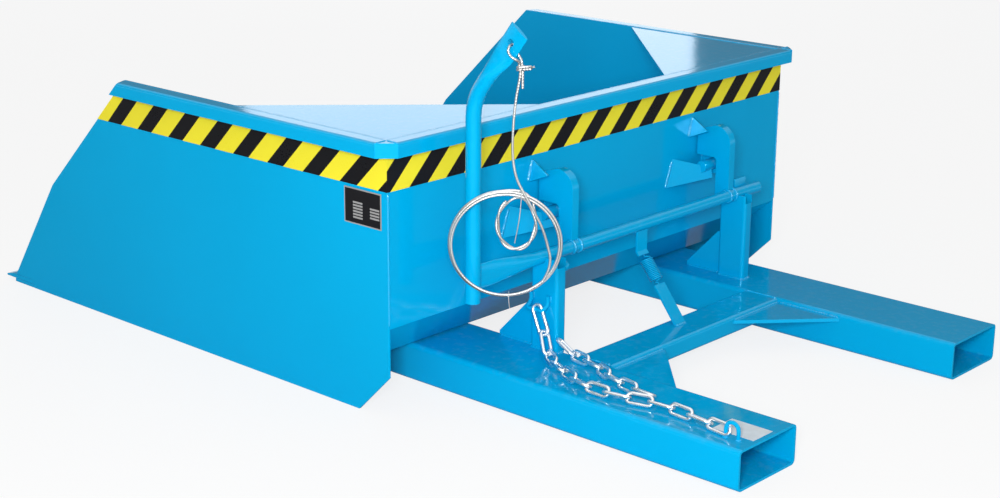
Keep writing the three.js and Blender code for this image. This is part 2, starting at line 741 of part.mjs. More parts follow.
function makeCatch(x, suffix) {
  const wall = BUCKET_REAR - GAP;
  const cheekX = x + HOOK_THICK / 2 + CATCH_SIDE_GAP;
  const pinEnd = cheekX + CATCH_CHEEK_THICK + GAP;
  const pin = barX(CATCH_PIN_DIAMETER, x - CATCH_PIN_LEFT, pinEnd);
  add(bucket, `catch_pin_${suffix}`, pin, BLUE, 0, PIN_Y, CATCH_PIN_HEIGHT);

  const cheek = new THREE.Shape();
  cheek.moveTo(wall, CATCH_PIN_HEIGHT - CATCH_CHEEK_DROP);
  cheek.lineTo(wall, CATCH_PIN_HEIGHT + CATCH_CHEEK_RISE);
  cheek.absarc(PIN_Y, CATCH_PIN_HEIGHT, CATCH_CHEEK_NOSE, Math.PI / 2, (3 * Math.PI) / 2);
  cheek.closePath();
  withBore(cheek, PIN_Y, CATCH_PIN_HEIGHT, CATCH_PIN_DIAMETER + 2 * BORE_GAP);
  const cheekPlate = alongX(cheek, CATCH_CHEEK_THICK, SMALL_ROUND);
  add(bucket, `catch_cheek_${suffix}`, cheekPlate, BLUE, cheekX);

  add(bucket, `catch_wing_${suffix}`, wingPlate(x), BLUE);

  const foot = TAPE_HEIGHT - CATCH_GUSSET_BELOW_TAPE - CATCH_GUSSET_TALL;
  const gusset = outline([
    [wall, foot],
    [wall, foot + CATCH_GUSSET_TALL],
    [wall - CATCH_GUSSET_REACH, foot + CATCH_GUSSET_TIP],
  ]);
  const gussetX = x - CATCH_GUSSET_LEFT - CATCH_GUSSET_THICK;
  const gussetPlate = alongX(gusset, CATCH_GUSSET_THICK).translate(0, 0, -foot);
  gussetPlate.rotateY(CATCH_GUSSET_LEAN);
  add(bucket, `catch_gusset_${suffix}`, gussetPlate, BLUE, gussetX, 0, foot);
}

function wingPlate(x) {
  const along = new THREE.Vector3(-Math.cos(WING_TURN), Math.sin(WING_TURN), 0);
  const up = new THREE.Vector3(0, 0, 1).applyAxisAngle(along, WING_LEAN);
  const facing = new THREE.Vector3().crossVectors(along, up);
  const plate = alongZ(
    outline([
      [0, 0],
      [WING_LENGTH, -WING_FOOT_DROP],
      [WING_LENGTH, WING_FOOT_TALL - WING_FOOT_DROP],
      [0, WING_TIP_TALL],
    ]),
    WING_THICK,
  );
  plate.applyMatrix4(new THREE.Matrix4().makeBasis(along, up, facing));
  const tipX = x - HOOK_THICK / 2 - CATCH_SIDE_GAP / 2;
  plate.translate(tipX + WING_THICK, BUCKET_REAR - WING_TIP_BACK, CATCH_PIN_HEIGHT - WING_TIP_DROP);
  const low = CATCH_PIN_HEIGHT - WING_LENGTH;
  const high = CATCH_PIN_HEIGHT + WING_LENGTH;
  const wall = box(x - 2 * WING_LENGTH, x, BUCKET_REAR - GAP, BUCKET_REAR + WING_LENGTH, low, high);
  const beside = box(tipX, x, PIN_Y - WING_LENGTH, BUCKET_REAR, low, high);
  const seat = barX(
    CATCH_PIN_DIAMETER + 2 * GAP,
    x - CATCH_PIN_LEFT - GAP,
    x,
    PIN_Y,
    CATCH_PIN_HEIGHT,
  );
  return cut(plate, wall, beside, seat);
}

// Release: shaft, lever, hooks and spring arm, all in the shaft's own axes

function makeShaft() {
  const left = -LEVER_FROM_MIDDLE + LEVER_DIAMETER / 2 + GAP;
  const right = RIGHT_POST_X + POST_WIDTH + SHAFT_PAST_RIGHT_POST;
  const shaft = pressedTube({
    diameter: SHAFT_DIAMETER,
    length: right - left,
    flat: SHAFT_FLAT_LENGTH,
    taper: SHAFT_TAPER,
    thick: SHAFT_FLAT_TALL,
    wide: SHAFT_FLAT_THICK,
    shift: 0,
    rings: 2 * SMALL_ROUND,
  });
  shaft.rotateY(-Math.PI / 2);
  add(release, "release_shaft", shaft, BLUE, right);
}

// The lever's centre line: straight up, round the bend, straight on
function leverPoint(distance) {
  const straight = LEVER_BEND_HEIGHT - LEVER_FOOT_HEIGHT;
  const bend = LEVER_BEND_RADIUS * LEVER_BEND_TURN;
  const turn = THREE.MathUtils.clamp((distance - straight) / LEVER_BEND_RADIUS, 0, LEVER_BEND_TURN);
  const past = Math.max(0, distance - straight - bend);
  const rise = Math.min(distance, straight);
  const y = LEVER_BEND_RADIUS * (1 - Math.cos(turn)) + past * Math.sin(turn);
  const z = rise + LEVER_BEND_RADIUS * Math.sin(turn) + past * Math.cos(turn);
  return { y: -y, z: LEVER_FOOT_HEIGHT - SHAFT_HEIGHT + z, turn };
}

const LEVER_LENGTH = LEVER_BEND_HEIGHT - LEVER_FOOT_HEIGHT + LEVER_BEND_RADIUS * LEVER_BEND_TURN + LEVER_TIP;
const ROPE_HOLE = leverPoint(LEVER_LENGTH - ROPE_HOLE_FROM_END);
const ROPE_HOLE_X = -LEVER_FROM_MIDDLE + LEVER_FLAT_SHIFT;

function makeLever() {
  const lever = pressedTube({
    diameter: LEVER_DIAMETER,
    length: LEVER_LENGTH,
    flat: LEVER_FLAT_LENGTH,
    taper: LEVER_TAPER,
    thick: LEVER_FLAT_THICK,
    wide: LEVER_FLAT_WIDE,
    shift: LEVER_FLAT_SHIFT,
    rings: 3 * SMALL_ROUND,
  });
  const position = lever.attributes.position;
  for (let i = 0; i < position.count; i += 1) {
    const centre = leverPoint(position.getZ(i));
    const across = position.getY(i);
    position.setY(i, centre.y + across * Math.cos(centre.turn));
    position.setZ(i, centre.z + across * Math.sin(centre.turn));
  }
  const hole = barX(
    ROPE_HOLE_DIAMETER,
    -LEVER_DIAMETER,
    LEVER_DIAMETER,
    ROPE_HOLE.y,
    ROPE_HOLE.z,
    SMALL_ROUND,
  );
  add(release, "lever", cut(lever, hole), BLUE, -LEVER_FROM_MIDDLE);
}

function makeHook(x, name) {
  const rear = -HOOK_LEG_BACK;
  const front = HOOK_LEG_DEPTH - HOOK_LEG_BACK;
  const shape = new THREE.Shape();
  shape.moveTo(front, 0);
  shape.lineTo(front, HOOK_THROAT_RISE - HOOK_THROAT_RADIUS);
  shape.absarc(
    front + HOOK_THROAT_RADIUS,
    HOOK_THROAT_RISE - HOOK_THROAT_RADIUS,
    HOOK_THROAT_RADIUS,
    Math.PI,
    Math.PI / 2,
    true,
  );
  shape.lineTo(HOOK_REACH, HOOK_THROAT_RISE);
  shape.lineTo(HOOK_REACH, HOOK_RISE - HOOK_NOSE_DROP);
  shape.lineTo(rear + HOOK_BACK_RADIUS, HOOK_RISE);
  shape.absarc(rear + HOOK_BACK_RADIUS, HOOK_RISE - HOOK_BACK_RADIUS, HOOK_BACK_RADIUS, Math.PI / 2, Math.PI);
  shape.lineTo(rear, 0);
  shape.closePath();
  const seat = barX(SHAFT_DIAMETER + 2 * GAP, -HOOK_THICK, HOOK_THICK);
  const hook = alongX(shape, HOOK_THICK, SMALL_ROUND / 2).translate(-HOOK_THICK / 2, 0, 0);
  add(release, name, cut(hook, seat), BLUE, x);
}

// Spring line: from the strap's foot on the beam up to the end of the arm

const STRAP_FOOT = new THREE.Vector2(BEAM_FROM_REAR + BEAM_DEPTH - SPRING_FOOT_BACK, POCKET_HEIGHT + GAP);
const ARM_END = new THREE.Vector2(SHAFT_Y - SPRING_ARM_BACK, SHAFT_HEIGHT - SPRING_ARM_DROP);
const SPRING_UP = ARM_END.clone().sub(STRAP_FOOT).normalize();
const SPRING_ACROSS = new THREE.Vector2(SPRING_UP.y, -SPRING_UP.x);
const SPRING_LENGTH = SPRING_CURLS * SPRING_PITCH + 2 * (SPRING_END + SPRING_WIRE);
const SPRING_TOP = ARM_END.clone().addScaledVector(SPRING_UP, -GAP);
const SPRING_FOOT = SPRING_TOP.clone().addScaledVector(SPRING_UP, -SPRING_LENGTH);
const STRAP_TOP = SPRING_FOOT.clone().addScaledVector(SPRING_UP, -GAP);

function makeSpringArm() {
  const half = SPRING_STRAP_THICK / 2;
  const bend = ARM_END.clone().addScaledVector(SPRING_UP, SPRING_ARM_TAB);
  const local = (p) => [p.x - SHAFT_Y, p.y - SHAFT_HEIGHT];
  const side = (sign) => sign * half;
  const low = [1, -1].map((s) => local(ARM_END.clone().addScaledVector(SPRING_ACROSS, side(s))));
  const [bendY, bendZ] = local(bend);
  const shape = outline([
    low[1],
    low[0],
    [bendY + half, bendZ],
    [bendY + half, 0],
    [bendY - half, 0],
    [bendY - half, bendZ],
  ]);
  const arm = alongX(shape, SPRING_STRAP_WIDE).translate(-SPRING_STRAP_WIDE / 2, 0, 0);
  const seat = barX(SHAFT_DIAMETER + 2 * GAP, -SPRING_STRAP_WIDE, SPRING_STRAP_WIDE);
  const above = box(
    -SPRING_STRAP_WIDE,
    SPRING_STRAP_WIDE,
    -SHAFT_DIAMETER,
    SHAFT_DIAMETER,
    -SHAFT_RADIUS / 2,
    SHAFT_RADIUS,
  );
  add(release, "spring_arm", cut(arm, seat, above), BLUE, SPRING_FROM_MIDDLE);
}

function makeSpringStrap() {
  const half = SPRING_STRAP_THICK / 2;
  const across = half / SPRING_UP.y;
  const top = (sign) => STRAP_TOP.clone().addScaledVector(SPRING_ACROSS, sign * half).toArray();
  const shape = outline([
    [STRAP_FOOT.x - across, STRAP_FOOT.y],
    [STRAP_FOOT.x + across, STRAP_FOOT.y],
    top(1),
    top(-1),
  ]);
  const x = SPRING_FROM_MIDDLE - SPRING_STRAP_WIDE / 2;
  add(frame, "spring_strap", alongX(shape, SPRING_STRAP_WIDE), BLUE, x);
}

// One unbroken wire: straight ends, a spiral out from the axis, the curls, a spiral back in
function makeSpring() {
  const radius = (SPRING_DIAMETER - SPRING_WIRE) / 2;
  const stepsPerCurl = 8;
  const spiral = SPRING_END - SPRING_WIRE;
  const points = [];
  const place = (distance, r, angle) => {
    const centre = SPRING_TOP.clone().addScaledVector(SPRING_UP, -distance);
    centre.addScaledVector(SPRING_ACROSS, r * Math.sin(angle));
    points.push(new THREE.Vector3(r * Math.cos(angle), centre.x, centre.y));
  };
  place(0, 0, 0);
  place(SPRING_WIRE, 0, 0);
  const halfTurn = stepsPerCurl / 2;
  const begin = 2 * SPRING_WIRE + spiral;
  for (let i = 1; i < halfTurn; i += 1) {
    const share = i / halfTurn;
    place(SPRING_WIRE + share * (begin - SPRING_WIRE), radius * share, Math.PI * (share - 1));
  }
  for (let i = 0; i <= SPRING_CURLS * stepsPerCurl; i += 1) {
    const turns = i / stepsPerCurl;
    place(begin + turns * SPRING_PITCH, radius, 2 * Math.PI * turns);
  }
  const end = begin + SPRING_CURLS * SPRING_PITCH;
  for (let i = 1; i < halfTurn; i += 1) {
    const share = i / halfTurn;
    place(end + share * (begin - SPRING_WIRE), radius * (1 - share), Math.PI * share);
  }
  place(SPRING_LENGTH - SPRING_WIRE, 0, 0);
  place(SPRING_LENGTH, 0, 0);
  const curve = new THREE.CatmullRomCurve3(points, false, "centripetal");
  printLeastGap("tension_spring", curve, SPRING_WIRE, 2 * SPRING_DIAMETER);
  const steps = points.length - 1;
  add(frame, "tension_spring", tube(curve, SPRING_WIRE, steps, 5), BLUE, SPRING_FROM_MIDDLE);
}

// Least gap of a wound tube to itself, measured between points further apart along it than span
function printLeastGap(name, curve, diameter, span) {
  const length = curve.getLength();
  const count = Math.ceil((4 * length) / diameter);
  const points = curve.getSpacedPoints(count);
  const apart = Math.ceil((span / length) * count);
  let least = Infinity;
  for (let i = 0; i < points.length; i += 1) {
    for (let j = i + apart; j < points.length; j += 1) {
      least = Math.min(least, points[i].distanceTo(points[j]));
    }
  }
  const gap = least - diameter;
  console.log(`${name}: length ${length.toFixed(0)} mm, least gap ${gap.toFixed(2)} mm`);
}

// Chain: staple on the left post, eye on the left pocket, links that lap each other

function makeStaple() {
  const out = LEFT_POST_X - 2 * GAP - STAPLE_WIRE / 2;
  const front = STAPLE_REAR + STAPLE_SPAN;
  const low = STAPLE_FOOT_HEIGHT;
  const top = low + STAPLE_TALL;
  const curve = smooth([
    [out, STAPLE_REAR, top],
    [out, STAPLE_REAR, low + STAPLE_TALL / 2],
    [out - STAPLE_OUT / 4, STAPLE_REAR, low + STAPLE_WIRE],
    [out - STAPLE_OUT, STAPLE_REAR + STAPLE_WIRE / 2, low],
    [out - STAPLE_OUT, STAPLE_REAR + STAPLE_SPAN / 2, low],
    [out - STAPLE_OUT, front - STAPLE_WIRE / 2, low],
    [out - STAPLE_OUT / 4, front, low + STAPLE_WIRE],
    [out, front, low + STAPLE_TALL / 2],
    [out, front, top],
  ]);
  add(frame, "chain_staple", tube(curve, STAPLE_WIRE, ROUND, 8), BLUE);
}

const EYE_X = -POCKET_OUT + EYE_IN_FROM_SIDE;
const EYE_FRONT = EYE_REAR + EYE_SPAN;

function makeChainEye() {
  const radius = EYE_SPAN / 2;
  const foot = POCKET_HEIGHT + GAP;
  const points = [[EYE_X, EYE_REAR, foot]];
  const arcSteps = 6;
  for (let i = 0; i <= arcSteps; i += 1) {
    const angle = Math.PI - (Math.PI * i) / arcSteps;
    const y = EYE_REAR + radius + radius * Math.cos(angle);
    points.push([EYE_X, y, foot + EYE_TALL - radius + radius * Math.sin(angle)]);
  }
  points.push([EYE_X, EYE_FRONT, foot]);
  add(frame, "chain_eye", tube(smooth(points), EYE_WIRE, ROUND, 8), BLUE);
}

// A link is a ring drawn out lengthwise; from and to are where its neighbours touch it
function chainLink(from, to, roll, lapFrom, lapTo) {
  const ring = (CHAIN_LINK_WIDE - CHAIN_WIRE) / 2;
  const along = to.clone().sub(from);
  const half = along.length() / 2 + CHAIN_WIRE / 2 - ring;
  along.normalize();
  const link = new THREE.TorusGeometry(ring, CHAIN_WIRE / 2, 6, 14);
  const position = link.attributes.position;
  for (let i = 0; i < position.count; i += 1) {
    const x = position.getX(i);
    const stretch = x > 0 ? half - lapTo / 2 : -half + lapFrom / 2;
    position.setX(i, x + stretch);
  }
  const level = new THREE.Vector3(0, 0, 1).cross(along).normalize();
  const side = level.applyAxisAngle(along, roll);
  const normal = new THREE.Vector3().crossVectors(along, side);
  link.applyMatrix4(new THREE.Matrix4().makeBasis(along, side, normal));
  const middle = from.clone().add(to).multiplyScalar(1 / 2);
  return link.translate(middle.x, middle.y, middle.z);
}

function chainRun(name, joints, firstRoll) {
  const last = joints.length - 2;
  const links = [];
  for (let i = 0; i <= last; i += 1) {
    const lapFrom = i === 0 ? -CHAIN_JOINT_GAP : CHAIN_LAP;
    const lapTo = i === last ? -CHAIN_JOINT_GAP : CHAIN_LAP;
    const roll = CHAIN_ROLLS[(firstRoll + i) % 2];
    links.push(chainLink(joints[i], joints[i + 1], roll, lapFrom, lapTo));
  }
  add(frame, name, join(...links), ZINC);
}

// Places on the pocket: across as a share of its width from its inner face, along as a share
// of the way from the eye to the staple, up as a share of the staple's height above the pocket
const LONG_RUN_SHARES = [
  [0.267, 0.945, 0.45],
  [0.344, 0.909, 0.07],
  [0.583, 0.777, 0],
  [0.8, 0.58, 0],
  [0.76, 0.42, 0],
  [0.68, 0.3, 0],
  [0.73, 0.11, 0],
];
const SHORT_RUN_SHARES = [
  [0.155, 0.9, 0.25],
  [0.15, 0.85, 0.02],
  [0.19, 0.8, 0],
  [0.25, 0.7, 0],
  [0.42, 0.585, 0],
  [0.52, 0.45, 0],
  [0.54, 0.37, 0],
];

function chainPoint([across, along, up]) {
  const lying = POCKET_HEIGHT + CHAIN_LIFT;
  return new THREE.Vector3(
    -POCKET_IN - across * POCKET_WIDTH,
    EYE_FRONT + along * (STAPLE_REAR + STAPLE_SPAN / 2 - EYE_FRONT),
    lying + up * (STAPLE_FOOT_HEIGHT - lying),
  );
}

function makeChain() {
  const barX0 = LEFT_POST_X - 2 * GAP - STAPLE_WIRE / 2 - STAPLE_OUT;
  const hung = new THREE.Vector3(barX0, STAPLE_REAR + STAPLE_SPAN * STAPLE_HANG_SHARE, STAPLE_FOOT_HEIGHT);
  hung.z += STAPLE_WIRE / 2 + CHAIN_REST;
  const longRun = LONG_RUN_SHARES.map(chainPoint);
  const eyeSeat = new THREE.Vector3(EYE_X, EYE_FRONT - EYE_WIRE / 2, POCKET_HEIGHT + CHAIN_LIFT);
  longRun.push(eyeSeat);
  const topLink = chainLink(hung, longRun[0], CHAIN_ROLLS[0], -GAP, -CHAIN_JOINT_GAP);
  add(frame, "chain_top_link", topLink, ZINC);
  const longCurve = new THREE.CatmullRomCurve3(longRun, false, "centripetal");
  const longCount = Math.round(longCurve.getLength() / CHAIN_PITCH);
  const longJoints = longCurve.getSpacedPoints(longCount);
  const split = Math.floor(longCount / 2);
  chainRun("chain_long_run_front", longJoints.slice(0, split + 1), 1);
  chainRun("chain_long_run_rear", longJoints.slice(split), split + 1);
  const shortCurve = new THREE.CatmullRomCurve3(SHORT_RUN_SHARES.map(chainPoint), false, "centripetal");
  const shortCount = Math.round(shortCurve.getLength() / CHAIN_PITCH);
  chainRun("chain_short_run", shortCurve.getSpacedPoints(shortCount), 1);
}

// Rope: a loop through the lever's hole, a knot, the hanging line, the coil and its end loop.
// Their points start at the hole's centre. The line, coil and end loop hang in one upright
// plane, and their points are side, depth and height.

const hanging = new THREE.Group();
rope.position.set(ROPE_HOLE_X, SHAFT_Y + ROPE_HOLE.y, SHAFT_HEIGHT + ROPE_HOLE.z);
hanging.rotation.z = ROPE_TURN;
rope.add(hanging);

const LOOP_RISING = [
  [5, -13.5, -39.6],
  [5, -13.5, -37.4],
  [2, -15.5, -33.5],
  [-4.5, -13.5, -29],
  [-9, -8, -24.5],
  [-10, -2, -18.5],
  [-10, 0, -13.8],
];
const LOOP_FALLING = [
  [10, 0, -13.8],
  [10.5, -3, -19],
  [11.5, -8, -26],
  [12, -12.5, -32],
  [12, -13.5, -37.4],
  [12, -13.5, -39.6],
];

function makeLoop() {
  const points = LOOP_RISING.slice();
  const arcSteps = 6;
  for (let i = 1; i < arcSteps; i += 1) {
    const angle = Math.PI - (Math.PI * i) / arcSteps;
    points.push([LOOP_BEND * Math.cos(angle), 0, LOOP_BEND * (Math.sin(angle) - 1) - LOOP_SAG]);
  }
  points.push(...LOOP_FALLING);
  add(rope, "rope_loop", tube(smooth(points), ROPE_DIAMETER, 2 * ROUND, 8), ROPE_STEEL);
}

function makeKnot() {
  const knot = new THREE.CylinderGeometry(KNOT_DIAMETER / 2, KNOT_DIAMETER / 2, KNOT_TALL, SMALL_ROUND);
  knot.rotateX(Math.PI / 2);
  add(rope, "rope_knot", knot, ROPE_STEEL, KNOT_IN, -KNOT_BACK, -KNOT_DROP - KNOT_TALL / 2);
}

const LINE_ROUTE = [
  [15.7, -2.7, -54.3],
  [14.5, -2.7, -66],
  [8, -3, -106],
  [4, -3.5, -150],
  [3, -4, -200],
  [6, -4.5, -232],
  [12.7, -5, -257],
  [25.4, -5.5, -282],
  [43, -5, -315],
  [60, -3.5, -350],
  [72, -2, -385],
  [79, -0.8, -412],
  [81, -0.2, -428],
];

function makeLine() {
  const start = coilPoint(0);
  const tangent = coilPoint(ROPE_DIAMETER / COIL_RADIUS).sub(start).normalize();
  const end = start.clone().addScaledVector(tangent, -ROPE_DIAMETER - GAP);
  const points = LINE_ROUTE.map(([x, y, z]) => new THREE.Vector3(x, y, z));
  points.push(end.clone().addScaledVector(tangent, -ROPE_DIAMETER), end);
  const curve = new THREE.CatmullRomCurve3(points, false, "centripetal");
  console.log(`rope_line: length ${curve.getLength().toFixed(0)} mm`);
  add(hanging, "rope_line", tube(curve, ROPE_DIAMETER, 2 * ROUND, 8), ROPE_STEEL);
}

function coilPoint(swept) {
  const turns = swept / (2 * Math.PI);
  const angle = COIL_START - swept;
  const radius = COIL_RADIUS - COIL_CLOSING * turns;
  return new THREE.Vector3(
    COIL_SIDE + COIL_SHIFT * turns + radius * Math.cos(angle),
    COIL_STACK * turns,
    radius * Math.sin(angle) - COIL_DROP,
  );
}

function makeCoil() {
  const steps = Math.round(COIL_TURNS * LOOP_STEPS);
  const sweep = COIL_TURNS * 2 * Math.PI;
  const points = [];
  for (let i = 0; i <= steps; i += 1) {
    points.push(coilPoint((sweep * i) / steps));
  }
  runStraight(points);
  const curve = new THREE.CatmullRomCurve3(points, false, "centripetal");
  printLeastGap("rope_coil", curve, ROPE_DIAMETER, COIL_RADIUS);
  add(hanging, "rope_coil", tube(curve, ROPE_DIAMETER, steps + 2, 6), ROPE_STEEL);
}

// Both ends of a wound tube run straight on for one diameter
function runStraight(points) {
  const first = points[0].clone().sub(points[1]).setLength(ROPE_DIAMETER).add(points[0]);
  const count = points.length;
  const last = points[count - 1].clone().sub(points[count - 2]).setLength(ROPE_DIAMETER);
  points.unshift(first);
  points.push(last.add(points[count]));
}

const EYE_LOOP_ENTRY = [
  [19, 16.2, -283],
  [32, 16, -290],
  [41.5, 15, -303],
];

function eyeLoopPoint(swept) {
  const angle = EYE_LOOP_START - swept;
  const twist = EYE_LOOP_TWISTS * swept;
  const outward = EYE_LOOP_STRAND * Math.cos(twist);
  const radial = new THREE.Vector2(
    Math.cos(angle) / EYE_LOOP_HALF_WIDE,
    Math.sin(angle) / EYE_LOOP_HALF_TALL,
  ).normalize();
  return new THREE.Vector3(
    EYE_LOOP_SIDE + EYE_LOOP_HALF_WIDE * Math.cos(angle) + outward * radial.x,
    EYE_LOOP_DEPTH + EYE_LOOP_STRAND * Math.sin(twist),
    EYE_LOOP_HALF_TALL * Math.sin(angle) + outward * radial.y - EYE_LOOP_DROP,
  );
}

function makeEyeLoop() {
  const sweep = COIL_TURNS * 2 * Math.PI;
  const coilEnd = coilPoint(sweep);
  const heading = coilEnd.clone().sub(coilPoint(sweep - ROPE_DIAMETER / COIL_RADIUS)).normalize();
  const start = coilEnd.clone().addScaledVector(heading, ROPE_DIAMETER + GAP);
  const points = [start, start.clone().addScaledVector(heading, ROPE_DIAMETER)];
  points.push(...EYE_LOOP_ENTRY.map(([x, y, z]) => new THREE.Vector3(x, y, z)));
  const steps = Math.round(EYE_LOOP_TURNS * EYE_LOOP_STEPS);
  const loops = EYE_LOOP_TURNS * 2 * Math.PI;
  for (let i = 0; i <= steps; i += 1) {
    points.push(eyeLoopPoint((loops * i) / steps));
  }
  const curve = new THREE.CatmullRomCurve3(points, false, "centripetal");
  printLeastGap("rope_end_loop", curve, ROPE_DIAMETER, 2 * EYE_LOOP_HALF_TALL);
  add(hanging, "rope_end_loop", tube(curve, ROPE_DIAMETER, points.length, 6), ROPE_STEEL);
}

// Tape, type plate and label

function makeTape() {
  const inner = PANEL_OUT + GAP;
  const outer = inner + TAPE_THICK;
  const rearInner = BUCKET_REAR - GAP;
  const rearOuter = rearInner - TAPE_THICK;
  const front = FRONT_KINK_FROM_REAR;
  const strip = alongZ(
    outline([
      [inner, front],
      [inner, rearInner],
      [-inner, rearInner],
      [-inner, front],
      [-outer, front],
      [-outer, rearOuter],
      [outer, rearOuter],
      [outer, front],
    ]),
    TAPE_WIDE,
  ).translate(0, 0, TAPE_HEIGHT);
  const beyond = alongX(
    outline([
      [RIM_FRONT, RIM_HEIGHT],
      [FRONT_KINK_FROM_REAR, FRONT_KINK_HEIGHT],
      [FRONT_KINK_FROM_REAR + OVERRUN, RIM_HEIGHT],
    ]),
    BUCKET_WIDTH + 4 * OVERRUN,
  ).translate(-PANEL_OUT - 2 * OVERRUN, 0, 0);
  add(bucket, "hazard_tape", cut(strip, beyond), TAPE_YELLOW);
}

function makePlates() {
  const x = -PANEL_OUT - GAP;
  const y = BUCKET_REAR + TYPE_PLATE_FROM_REAR;
  const plate = box(
    x - TYPE_PLATE_THICK,
    x,
    y,
    y + TYPE_PLATE_LONG,
    TYPE_PLATE_HEIGHT,
    TYPE_PLATE_HEIGHT + TYPE_PLATE_TALL,
  );
  add(bucket, "type_plate", plate, PLATE_BLACK);
  const labelX = -POCKET_OUT + LABEL_IN_FROM_SIDE;
  const labelZ = POCKET_HEIGHT + GAP;
  const label = box(
    labelX,
    labelX + LABEL_WIDE,
    LABEL_FROM_REAR,
    LABEL_FROM_REAR + LABEL_LONG,
    labelZ,
    labelZ + LABEL_THICK,
  );
  add(frame, "pocket_label", label, LABEL_GREY);
}

for (const [side, suffix] of [[-1, "left"], [1, "right"]]) {
  makePocket(side, `pocket_${suffix}`);
  makeCornerGusset(side, `corner_gusset_${suffix}`);
  makePivotLug(side, `pivot_lug_${suffix}`);
  makePivotPin(side, `pivot_pin_${suffix}`);
  makeTiltEar(side, `tilt_ear_${suffix}`);
  makeSidePanel(side, `side_panel_${suffix}`);
  makeSideRim(side, `rim_${suffix}`);
  makeRimCorner(side, `rim_corner_${suffix}`);
  makeCornerPlate(side, `corner_plate_${suffix}`);
}
const posts = [[LEFT_POST_X, LEFT_POST_REAR, "left"], [RIGHT_POST_X, POST_FROM_REAR, "right"]];
for (const [x, rear, suffix] of posts) {
  makePost(x, rear, `post_${suffix}`);
  makePostGusset(x, rear, `post_gusset_${suffix}`);
}
for (const [x, suffix] of [[LEFT_HOOK_X, "left"], [RIGHT_HOOK_FROM_MIDDLE, "right"]]) {
  makeHook(x, `hook_${suffix}`);
  makeCatch(x, suffix);
}
makeCrossBeam();
makeStopBoss();
makeTrough();
makeLip();
makeBackRim();
makeShaft();
makeLever();
makeSpringArm();
makeSpringStrap();
makeSpring();
makeStaple();
makeChainEye();
makeChain();
makeLoop();
makeKnot();
makeLine();
makeCoil();
makeEyeLoop();
makeTape();
makePlates();

export default forkliftBucket;
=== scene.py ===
import math

import bpy
from mathutils import Matrix, Vector, noise


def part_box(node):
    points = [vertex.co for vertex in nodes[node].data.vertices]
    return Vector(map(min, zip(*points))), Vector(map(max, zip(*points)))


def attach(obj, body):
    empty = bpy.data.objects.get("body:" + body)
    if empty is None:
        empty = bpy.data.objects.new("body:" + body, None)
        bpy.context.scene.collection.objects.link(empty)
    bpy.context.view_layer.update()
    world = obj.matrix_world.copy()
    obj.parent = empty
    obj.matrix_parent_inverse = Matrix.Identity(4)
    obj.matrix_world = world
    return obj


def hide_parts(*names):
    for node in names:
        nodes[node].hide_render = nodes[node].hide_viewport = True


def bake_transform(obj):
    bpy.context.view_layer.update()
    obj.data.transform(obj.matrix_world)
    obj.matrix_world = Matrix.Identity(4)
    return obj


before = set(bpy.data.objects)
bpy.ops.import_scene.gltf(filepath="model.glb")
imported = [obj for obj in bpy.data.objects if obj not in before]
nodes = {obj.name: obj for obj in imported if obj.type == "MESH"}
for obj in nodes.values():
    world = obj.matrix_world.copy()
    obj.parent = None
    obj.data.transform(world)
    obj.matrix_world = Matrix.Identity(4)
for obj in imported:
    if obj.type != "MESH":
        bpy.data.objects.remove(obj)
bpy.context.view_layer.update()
scene = bpy.context.scene

# Camera: it stands behind the bucket's left rear corner, a little above the lever's top,
# and looks slightly down at the whole part.

LENS_MM = 64.936
SENSOR_MM = 36
CAMERA_PLACE = (-2.91792, -2.64331, 1.33042)
CAMERA_HEADING = math.radians(-47.8988)
CAMERA_TIP = math.radians(90 - 16.8397)
CAMERA_ROLL = math.radians(0.4282)

lens = bpy.data.cameras.new("camera")
lens.lens = LENS_MM
lens.sensor_width = SENSOR_MM
camera = bpy.data.objects.new("camera", lens)
scene.collection.objects.link(camera)
scene.camera = camera
camera.matrix_world = (
    Matrix.Translation(CAMERA_PLACE)
    @ Matrix.Rotation(CAMERA_HEADING, 4, "Z")
    @ Matrix.Rotation(CAMERA_TIP, 4, "X")
    @ Matrix.Rotation(CAMERA_ROLL, 4, "Z")
)

# Rope: one thin galvanised wire rope, six strands laid round a core. It is tied into the
# lever's hole with a wrapped knot and hangs down to a coil with a smaller loop in it.

ROPE_WIDE = 0.005
ROPE_LAY = 0.034
ROPE_STEP = 0.0026
STRANDS = 6
STRAND_VALLEY_SHARE = 0.78
HOLE = Vector((-0.505, -0.48844, 0.74183))
HANGING = Matrix.Translation(HOLE) @ Matrix.Rotation(math.radians(-47.8), 4, "Z")
LINE_POINTS = [
    (0.0157, -0.0027, -0.0500),
    (0.0157, -0.0027, -0.0543),
    (0.0145, -0.0027, -0.0660),
    (0.0080, -0.0030, -0.1060),
    (0.0040, -0.0035, -0.1500),
    (0.0030, -0.0040, -0.2000),
    (0.0060, -0.0045, -0.2320),
    (0.0127, -0.0050, -0.2570),
    (0.0254, -0.0055, -0.2820),
    (0.0430, -0.0050, -0.3150),
    (0.0600, -0.0035, -0.3500),
    (0.0705, -0.0025, -0.3850),
    (0.0752, -0.0015, -0.4090),
    (0.0727, -0.0010, -0.4290),
    (0.0668, -0.0004, -0.4440),
]
COIL_RADIUS = 0.0998
COIL_TALL = 0.965
COIL_SIDE = -0.0079
COIL_DROP = 0.3836
COIL_START = math.radians(-52)
COIL_TURNS = 2.603
COIL_STACK = 0.0059
COIL_OPENING = 0.0030
COIL_LOOSE = 0.0018
COIL_LOOSE_TURN = 0.8
COIL_SHIFT = 0.0006
COIL_SINK = 0.0010
TURN_STEPS = 24
END_LOOP_ENTRY = [(0.019, 0.0162, -0.283), (0.032, 0.016, -0.290), (0.0415, 0.015, -0.303)]
END_LOOP_WIDE = 0.036
END_LOOP_TALL = 0.049
END_LOOP_SIDE = 0.0117
END_LOOP_DROP = 0.345
END_LOOP_DEPTH = 0.013
END_LOOP_START = math.radians(30)
